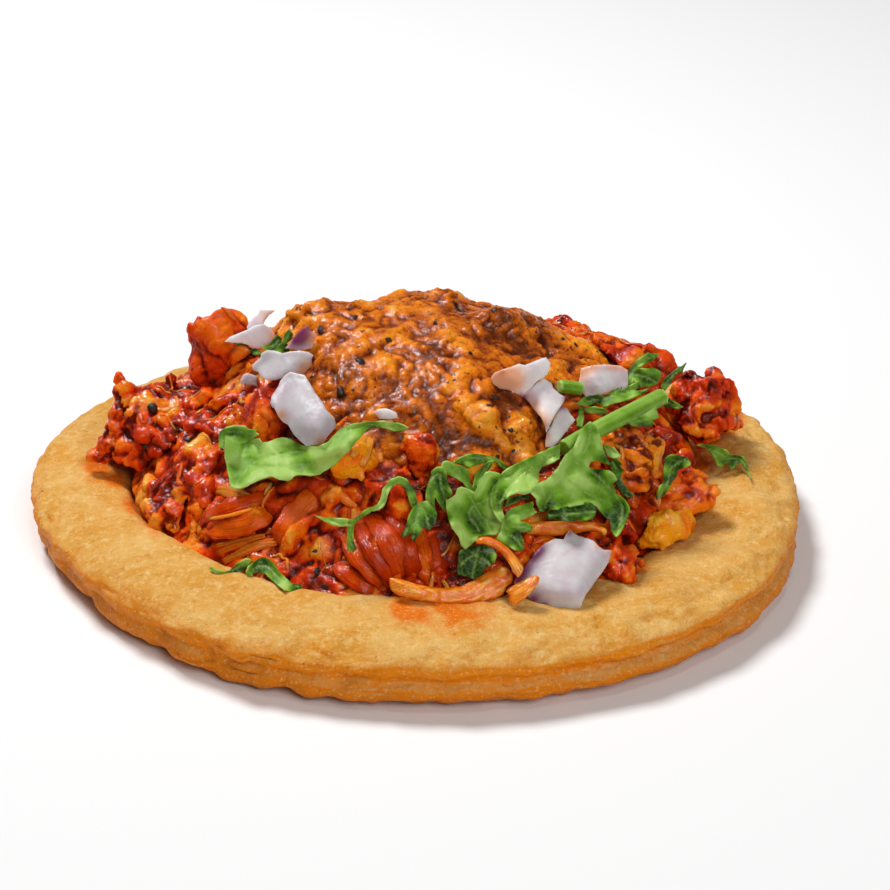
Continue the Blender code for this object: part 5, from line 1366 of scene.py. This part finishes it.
        (34.9, 7.9), (33.4, 7.4), (31.6, 6.7), (29.6, 6.1), (28.7, 5.8), (28, 6.4), (26.5, 6.1)
    ], [
        [(24.9, 6.2), (28, 7), (31.6, 7.7), (35.7, 8.6)],
        [(29.8, 7.4), (31.4, 8.8)],
        [(32.5, 8), (34.3, 9.5)],
    ]),
    "back_leaf_low": ("cilantro_back_leaf", 0.5, 0.5, 0.0, [
        (25.8, 5.7), (27.4, 5.8), (28.7, 5.5), (29.4, 5.1), (28.5, 4.6), (27.6, 4.8), (26, 5)
    ], [
        [(25.8, 5.4), (29.2, 5.1)],
    ]),
    "back_leaf_end": ("cilantro_back_leaf", 0.4, 0.4, 0.0, [
        (24.9, 4.4), (25.2, 5.8), (25.7, 5.7), (25.8, 4.4), (25.5, 2.8), (24.8, 3)
    ], [
        [(25.5, 5.7), (25.2, 2.9)],
    ]),
    "back_sprig": ("cilantro_back_sprig", 0.38, 0.45, 0.4, [
        (32.7, 11.6), (33.1, 12), (33.6, 12.7), (34.5, 13.3), (35.7, 14.1), (36.1, 13.9), (37.3, 13.8),
        (36.5, 13.1), (35, 12.4), (33.9, 11.7), (34.8, 11.6), (36.3, 11.8), (37.3, 11.4), (37.5, 10.7),
        (37, 9.5), (36.5, 9.3), (35.7, 9), (34.5, 8.8), (33.6, 9.5), (33.4, 10.1), (33.1, 9.3), (32.5, 9),
        (32.5, 10.4)
    ], [
        [(32.6, 9.3), (33, 11.1), (34.8, 12.9), (37.2, 13.7)],
        [(33.1, 10.9), (35.2, 10.4), (36.8, 9.5)],
    ]),
    "back_tip": ("cilantro_back_tip", 0.32, 0.36, 0.3, [
        (37.7, 8.8), (38.1, 10), (39.2, 10.9), (40.6, 12), (41.5, 12.5), (41.1, 11.8), (40.8, 11.1),
        (39.9, 10.7), (39, 9.5), (38.1, 8.3)
    ], [
        [(37.8, 8.5), (39.2, 10.4), (41.5, 12.4)],
    ]),
    "back_tip_low": ("cilantro_back_tip", 0.32, 0.36, 0.1, [
        (37.7, 7.4), (38.6, 7.1), (39.7, 6.4), (41, 5.8), (39.9, 5.6), (38.6, 5.8), (37.7, 6.1)
    ], [
        [(37.7, 6.7), (40.9, 5.8)],
    ]),
    "under_stalk": ("cilantro_under_stalk", 0.38, 0.5, 0.2, [
        (32.5, 3.5), (34.3, 4.4), (36.1, 5.3), (36.8, 5.8), (37, 4.8), (37.3, 4.2), (36.3, 3.8),
        (36.5, 3.2), (35.7, 2.8), (34.3, 2.8), (33, 3)
    ], [
        [(32.7, 3.2), (35.2, 3.9), (37.1, 4.3)],
    ]),
    "round_leaf": ("cilantro_round_leaf", 0.22, 0.26, 0.2, [
        (38, -3.5), (38.2, -2.1), (39, -1.6), (40.4, -1.6), (41.5, -1.9), (42.1, -2.9), (41, -3.5),
        (40.1, -3.9), (39.9, -5), (39.2, -5.7), (38.8, -6.6), (38.1, -7.7), (37, -8.4), (37, -7.7),
        (37.4, -6.4), (38.1, -5.5), (38.1, -4.4)
    ], [
        [(37.2, -8.2), (38.6, -5.5), (39.2, -3.5), (41.3, -2.2)],
    ]),
    "rim_leaf": ("cilantro_rim_leaf", 0.45, 0.5, 0.5, [
        (42.9, -0.1), (44.4, 0), (46.2, -0.2), (47.5, -0.9), (48.4, -1.7), (49.8, -1.7), (50.3, -2.3),
        (50.9, -3.7), (51.3, -5.1), (50.9, -4.6), (50.3, -3.2), (49.8, -2.6), (49.1, -2.7), (48.7, -3.5),
        (48.2, -3.7), (48, -3), (47.3, -2.6), (47, -3.3), (46.3, -3.1), (45.8, -1.9), (45.1, -1),
        (44.2, -0.4)
    ], [
        [(43, -0.1), (45.7, -0.9), (48, -2), (49.9, -2.1), (51.2, -5)],
    ]),
    "front_leaf": ("cilantro_front_leaf", 0.62, 0.66, 0.4, [
        (-25.7, -19.4), (-25.3, -18.5), (-24.1, -17.5), (-23.2, -17.1), (-22.4, -17.5), (-21.5, -18.3),
        (-20.8, -19.4), (-19.7, -20.3), (-18.8, -21.1), (-17.3, -21.4), (-17.5, -22), (-18.1, -22.3),
        (-19, -22.4), (-20.1, -22), (-21, -21.4), (-22.1, -20.3), (-22.8, -19.7), (-23.9, -19.4),
        (-24.8, -19.5), (-24.9, -20.1), (-25.6, -20.1)
    ], [
        [(-25.4, -19.7), (-23.9, -18.5), (-22.4, -18.7), (-20.6, -20.5), (-17.6, -21.7)],
    ]),
    "front_leaf_tail": ("cilantro_front_leaf", 0.5, 0.55, 0.2, [
        (-31.3, -18.6), (-30.2, -19.2), (-29.1, -19.4), (-28.1, -19.1), (-27.7, -18.5), (-26.8, -18),
        (-25.9, -17.5), (-25.1, -17.5), (-25.4, -18.2), (-26, -19.2), (-26.8, -19.3), (-28, -19.5),
        (-29.1, -19.7), (-30.2, -19.6), (-31.3, -19.2)
    ], [
        [(-31.3, -18.9), (-29.1, -19.6), (-27.5, -18.9), (-25.3, -17.6)],
    ]),
    "bit_left": ("cilantro_bits_left", 0.75, 0.75, 0.0, [
        (-27.5, 15.2), (-26.9, 15.5), (-25.8, 15.3), (-24.7, 14.6), (-25.4, 14.5), (-26.5, 14.7),
        (-27.2, 14.9)
    ], [
        [(-27.5, 15.2), (-24.7, 14.6)],
    ]),
    "bit_low": ("cilantro_bits_left", 0.5, 0.5, 0.2, [
        (-25.3, 14.4), (-24.4, 14.7), (-23.4, 14.2), (-23.6, 13.8), (-24.7, 13.8)
    ], [
        [(-25.3, 14.4), (-23.6, 13.9)],
    ]),
    "bit_middle": ("cilantro_bits_left", 0.42, 0.5, 0.4, [
        (-23.4, 15.1), (-22.2, 15.4), (-21.7, 16.1), (-20.9, 16.7), (-20.4, 16.3), (-20.4, 15.6),
        (-21.1, 14.8), (-21.7, 14.5), (-22.9, 14.5)
    ], [
        [(-23.3, 14.8), (-21.8, 15.1), (-20.6, 16.2)],
    ]),
    "bit_high": ("cilantro_bits_left", 0.34, 0.4, 0.4, [
        (-20, 16.8), (-19.3, 17.6), (-18.7, 16.9), (-18.9, 16.1), (-19.5, 15.6), (-20, 15.9)
    ], [
        [(-19.7, 15.8), (-19.2, 17.3)],
    ]),
    "bit_right": ("cilantro_bits_left", 0.5, 0.55, 0.3, [
        (-21.5, 14.5), (-20.2, 15.8), (-19.1, 15.1), (-19.2, 14.3), (-20.6, 14)
    ], [
        [(-21.3, 14.4), (-19.3, 14.9)],
    ]),
}


def cilantro_finish(name, roughness):
    look = finish_of(name, Roughness=roughness, Subsurface_Weight=0.25, Subsurface_Scale=0.0008,
                     Subsurface_Radius=(0.6, 1.0, 0.2), Specular_IOR_Level=0.22)
    shade = mixed(look, 0.28, attribute(look, "shade"), grain(look, 1.4, 4.0, 0.6))
    cells = pattern(look, "ShaderNodeTexVoronoi", 1.1, feature="DISTANCE_TO_EDGE")
    net = ramp(look, cells.outputs["Distance"], (0.0, 0.16), (0.09, 0.0))
    # From painted shade in the darkest green to a painted sheen in the palest.
    green = ramp(look, shade, (0.20, LEAF_DARK_IN_SHADE), (0.38, LEAF_GREEN), (0.54, LEAF_LIGHT), (0.74, LEAF_PALE_RIB_AND_SHEEN))
    green = mixed(look, net, green, LEAF_PALE_RIB_AND_SHEEN)
    green = mixed(look, weaker(look, 0.70, attribute(look, "rib")), green, LEAF_PALE_RIB_AND_SHEEN)
    colour_and_relief(look, green, None, [
        (grain(look, 0.35, 3.0, 0.6), 0.03), (grain(look, 1.1, 2.0, 0.5), 0.04),
    ])
    return look


leaf_finish = cilantro_finish("cilantro_leaf", 0.50)
stem_finish = cilantro_finish("cilantro_stem", 0.36)
for name, (node, inside, edge, lift, outline, ribs) in LEAVES.items():
    paths = [flowing(rib, 0.5, closed=False) for rib in ribs]

    def blade(here, to_rim):
        flat = Vector((here.x, here.y, len(name)))
        to_rib, along = min(distance_to(path, here) for path in paths)
        fine = math.exp(-((to_rib / 0.12) ** 2))
        side_veins = math.exp(-(((((along + 0.8 * to_rib) % 1.9) - 0.95) / 0.13) ** 2))
        side_veins *= min(1.0, to_rim / 0.8)
        flare = max(0.0, 1.0 - to_rim / 1.3)
        rise = lift + 1.1 * flare * lumps(flat, 1.9) + 0.9 * lumps(flat, 4.0, 2.0)
        rise += 0.48 * min(1.0, to_rib / 1.6) - 0.16 * fine - 0.14 * side_veins
        # Besides the leaf's own tone inside and at the edge, raised parts are painted lighter and low parts
        # darker, and the shading spots are added: painted light and shade.
        shade = inside + (edge - inside) * flare + 0.30 * lumps(flat, 2.0, 3.0) + 0.66 * (rise - lift - 0.30)
        shade += sum(deep * math.exp(-(((here.x - u) ** 2 + (here.y - v) ** 2) / size**2))
                     for u, v, size, deep in LEAF_SHADING_SPOTS)
        return rise, {"shade": shade, "rib": min(1.0, fine + 0.35 * side_veins)}

    full_name = "cilantro_" + name + "_blade"
    leaf = sheet_piece(full_name, node, outline, LEAF_STEP, 0.1, topping_bed, 0.45, 12, blade)
    work(leaf, "SOLIDIFY", thickness=LEAF_THICK * MM, offset=-1.0)
    slot = "cilantro_stem" if node == "cilantro_sheath" else "cilantro_leaf"
    place_on_root(leaf, stem_finish if slot == "cilantro_stem" else leaf_finish, slot, node, crisp=True)

# Cilantro stalks.
# Two cut lengths of ribbed stalk, one long and one short, with pale ribs, darker furrows
# and whitish cut ends.
STALK_RIBS = 7
for node in ("cilantro_stalk", "cilantro_stalk_short"):
    piece = copy_of(node, node + "_ribbed")
    corners = np.array([vert.co for vert in piece.data.vertices]) / MM
    middle = Vector(corners.mean(axis=0))
    along = Vector(np.linalg.svd(corners - corners.mean(axis=0), full_matrices=False)[2][0])
    work(piece, "REMESH", mode="VOXEL", voxel_size=0.16 * MM)
    work(piece, "SMOOTH", factor=0.5, iterations=6)
    right = along.cross(Vector((0, 0, 1))).normalized()
    top = right.cross(along)
    away = [Vector(corner) - middle for corner in corners]
    runs = [spot.dot(along) for spot in away]
    bend = np.polyfit(runs, [spot.dot(top) for spot in away], 2)
    sway = np.polyfit(runs, [spot.dot(right) for spot in away], 2)
    shade, rib = (piece.data.attributes.new(name, "FLOAT", "POINT") for name in ("shade", "rib"))
    moves = []
    for vert, tone_mark, rib_mark in zip(piece.data.vertices, shade.data, rib.data):
        spot = vert.co / MM - middle
        run = spot.dot(along)
        over_it = spot.dot(top) - float(np.polyval(bend, run))
        beside = spot.dot(right) - float(np.polyval(sway, run))
        ridge = 0.5 + 0.5 * math.cos(STALK_RIBS * math.atan2(over_it, beside))
        cut = max(0.0, 1.0 - (max(runs) - abs(run)) / 0.5)
        tone_mark.value = 0.50 + 0.06 * ridge + 0.5 * cut + 0.10 * lumps(spot, 3.0)
        # The top of the stalk is painted lighter: a painted highlight.
        tone_mark.value += 0.16 * max(0.0, over_it - 0.3)
        rib_mark.value = max(ridge**3 * 0.22, cut)
        moves.append((right * beside + top * over_it) * (0.036 * (ridge - 0.6)))
    for vert, move in zip(piece.data.vertices, moves):
        vert.co += move * MM
    place_on_root(piece, stem_finish, "cilantro_stem", node)

# Orange shreds at the front.
# Thick strips of rind torn along their fibres and soaked in orange oil, which slipped down
# onto the rim and the onion. Their long fibres stand out as fine ridges.
SHREDS_AT_FRONT = {  # name: outline, line of its fibres
    "shred_front": ([
        (-3.8, -20.3), (-1.5, -20.7), (0.1, -21.2), (2.6, -21.7), (5, -21.8), (6.9, -21.6), (8.5, -20.8),
        (10.5, -19.5), (12.2, -18.7), (13.3, -18.5), (14.3, -19), (15, -20.2), (14.8, -21.1),
        (13.9, -21.8), (13.4, -22.9), (12.2, -23.5), (9.9, -24), (6.9, -24.3), (3.8, -24.3), (0.8, -23.8),
        (-2.3, -23.1), (-3.7, -22.1)
    ], [(-3.8, -21.2), (0.8, -22.6), (5.3, -23.1), (9.2, -22.1), (11.4, -20.6), (13.4, -19.4)]),
    "shred_middle": ([
        (9.3, -14.7), (9.8, -14.1), (11.1, -14), (12, -14.3), (13, -14.8), (14, -15.5), (14.6, -16.1),
        (15.6, -17.2), (16.5, -18.5), (16.4, -19.5), (15.7, -20.2), (14.9, -19), (14, -17.6),
        (13.2, -16.6), (12.4, -15.9), (11.4, -15.5), (10.4, -15.1), (9.6, -15.1)
    ], [(9.5, -14.6), (11.4, -14.7), (13, -15.6), (14.6, -17.1), (15.9, -19.5)]),
    "shred_high": ([
        (16.6, -12.2), (19.1, -11.7), (22, -11.6), (25.1, -11.6), (27.2, -11.6), (27.9, -12.2),
        (29.2, -12.8), (29.3, -13.3), (28.9, -13.8), (27.6, -13.3), (26.4, -13.2), (23.9, -13.6),
        (21.5, -13.9), (19.1, -13.8), (17.2, -13.6)
    ], [(16.6, -12.9), (21.5, -12.7), (26.4, -12.4), (29.2, -13.3)]),
    "shred_on_onion": ([
        (13.9, -22.3), (14.4, -21.8), (15.4, -21.2), (16.6, -20.5), (17.8, -20.1), (18.4, -19.9),
        (19, -20.2), (18.9, -20.9), (18.4, -21.8), (17.6, -22.7), (16.9, -23.4), (16, -24), (15.3, -24.6),
        (14.4, -24), (14.3, -23)
    ], [(14.2, -23.1), (16, -22.3), (17.6, -21.2), (18.7, -20.1)]),
}
SHRED_THICK = 0.9
SHRED_STEP = 0.26
shred_look = finish_of("orange_shred", Subsurface_Weight=0.35, Subsurface_Scale=0.0012,
                       Subsurface_Radius=(1.0, 0.35, 0.10), Specular_IOR_Level=0.40, Coat_Weight=0.40,
                       Coat_Roughness=0.12)
tint = mixed(shred_look, 0.45, attribute(shred_look, "crest"), grain(shred_look, 1.8, 4.0, 0.6))
tint = ramp(shred_look, tint, (0.26, (0.62, 0.070, 0.002)), (0.42, (0.86, 0.175, 0.004)),
            (0.58, (0.93, 0.29, 0.012)), (0.76, (0.96, 0.48, 0.10)))
rough = ramp(shred_look, grain(shred_look, 1.2), (0.35, 0.22), (0.65, 0.45))
colour_and_relief(shred_look, tint, rough, [(grain(shred_look, 0.4, 3.0, 0.6), 0.08)])
for number, (node, (outline, fibre_line)) in enumerate(SHREDS_AT_FRONT.items()):
    path = flowing(fibre_line, 0.5, closed=False)

    def torn(here, to_rim):
        off, along = distance_to(path, here)
        flat = Vector((here.x, here.y, number * 5.0))
        thread = abs(noise.noise(Vector((off * 2.2, along * 0.35, number * 5.0))))
        rise = 0.5 + 0.42 * (thread - 0.25) + 0.30 * lumps(flat, 2.2)
        rise -= 0.5 * max(0.0, 1.0 - to_rim / 0.7) ** 2
        return rise, {"crest": 0.30 + 1.1 * thread + 0.1 * lumps(flat, 1.0)}

    piece = sheet_piece(node + "_strip", node, outline, SHRED_STEP, 0.7, topping_bed, 0.3, 10, torn)
    work(piece, "SOLIDIFY", thickness=SHRED_THICK * MM, offset=-1.0)
    place_on_root(piece, shred_look, "orange_shred", node)

# The floor, the lights and the camera.
# A plain pale table top, a large soft light behind the left, two weaker ones in front, and
# an even pale surround.
FOCAL_LENGTH = 105.96
SURROUND_STRENGTH = 0.08
bpy.ops.object.select_all(action="DESELECT")
bpy.ops.mesh.primitive_plane_add(size=6.0, location=(0, 0, -0.02 * MM))
floor = bpy.context.object
floor.name = "floor"
pale = finish_of("pale_floor", Roughness=0.8, Specular_IOR_Level=0.2)
# The floor is painted darker away from the middle: a painted falloff of light.
coords = node_in(pale, "ShaderNodeTexCoord")
from_middle = node_in(pale, "ShaderNodeMapping")
from_middle.inputs["Location"].default_value = (0.0, -0.08, 0.0)
join_up(pale, coords.outputs["Object"], from_middle.inputs["Vector"])
reach = node_in(pale, "ShaderNodeVectorMath", operation="LENGTH")
join_up(pale, from_middle.outputs["Vector"], reach.inputs[0])
painted_light_falloff = ramp(pale, between(pale, reach.outputs["Value"], 0.07, 0.24), (0.0, 0.90), (1.0, 0.80))
colour_and_relief(pale, painted_light_falloff)
floor.data.materials.append(pale)

surround = bpy.data.worlds.new("surround")
surround.use_nodes = True
even_light = surround.node_tree.nodes["Background"]
even_light.inputs["Color"].default_value = (1.0, 1.0, 1.0, 1.0)
even_light.inputs["Strength"].default_value = SURROUND_STRENGTH
bpy.context.scene.world = surround


def soft_light(name, place, size, power):
    """A round soft light aimed at the middle of the table."""
    lamp = bpy.data.lights.new(name, "AREA")
    lamp.shape = "DISK"
    lamp.size = size
    lamp.energy = power
    light = bpy.data.objects.new(name, lamp)
    light.location = place
    light.rotation_euler = (-Vector(place)).to_track_quat("-Z", "Y").to_euler()
    bpy.context.scene.collection.objects.link(light)


soft_light("key_light", (-0.32, 0.34, 0.78), 0.30, 7.7)
soft_light("front_fill", (0.26, -0.60, 0.48), 0.40, 2.7)
soft_light("wet_sparkle", (0.06, -0.24, 0.80), 0.12, 0.5)

lens = bpy.data.cameras.new("camera")
lens.sensor_width = 36.0
lens.lens = FOCAL_LENGTH
lens.clip_start = 0.01
camera = bpy.data.objects.new("camera", lens)
camera.location = FRONT_EYE * MM
camera.rotation_euler = (math.radians(90) - LOOKING_DOWN, 0.0, 0.0)
bpy.context.scene.collection.objects.link(camera)
bpy.context.scene.camera = camera
bpy.context.scene.view_settings.view_transform = "Standard"
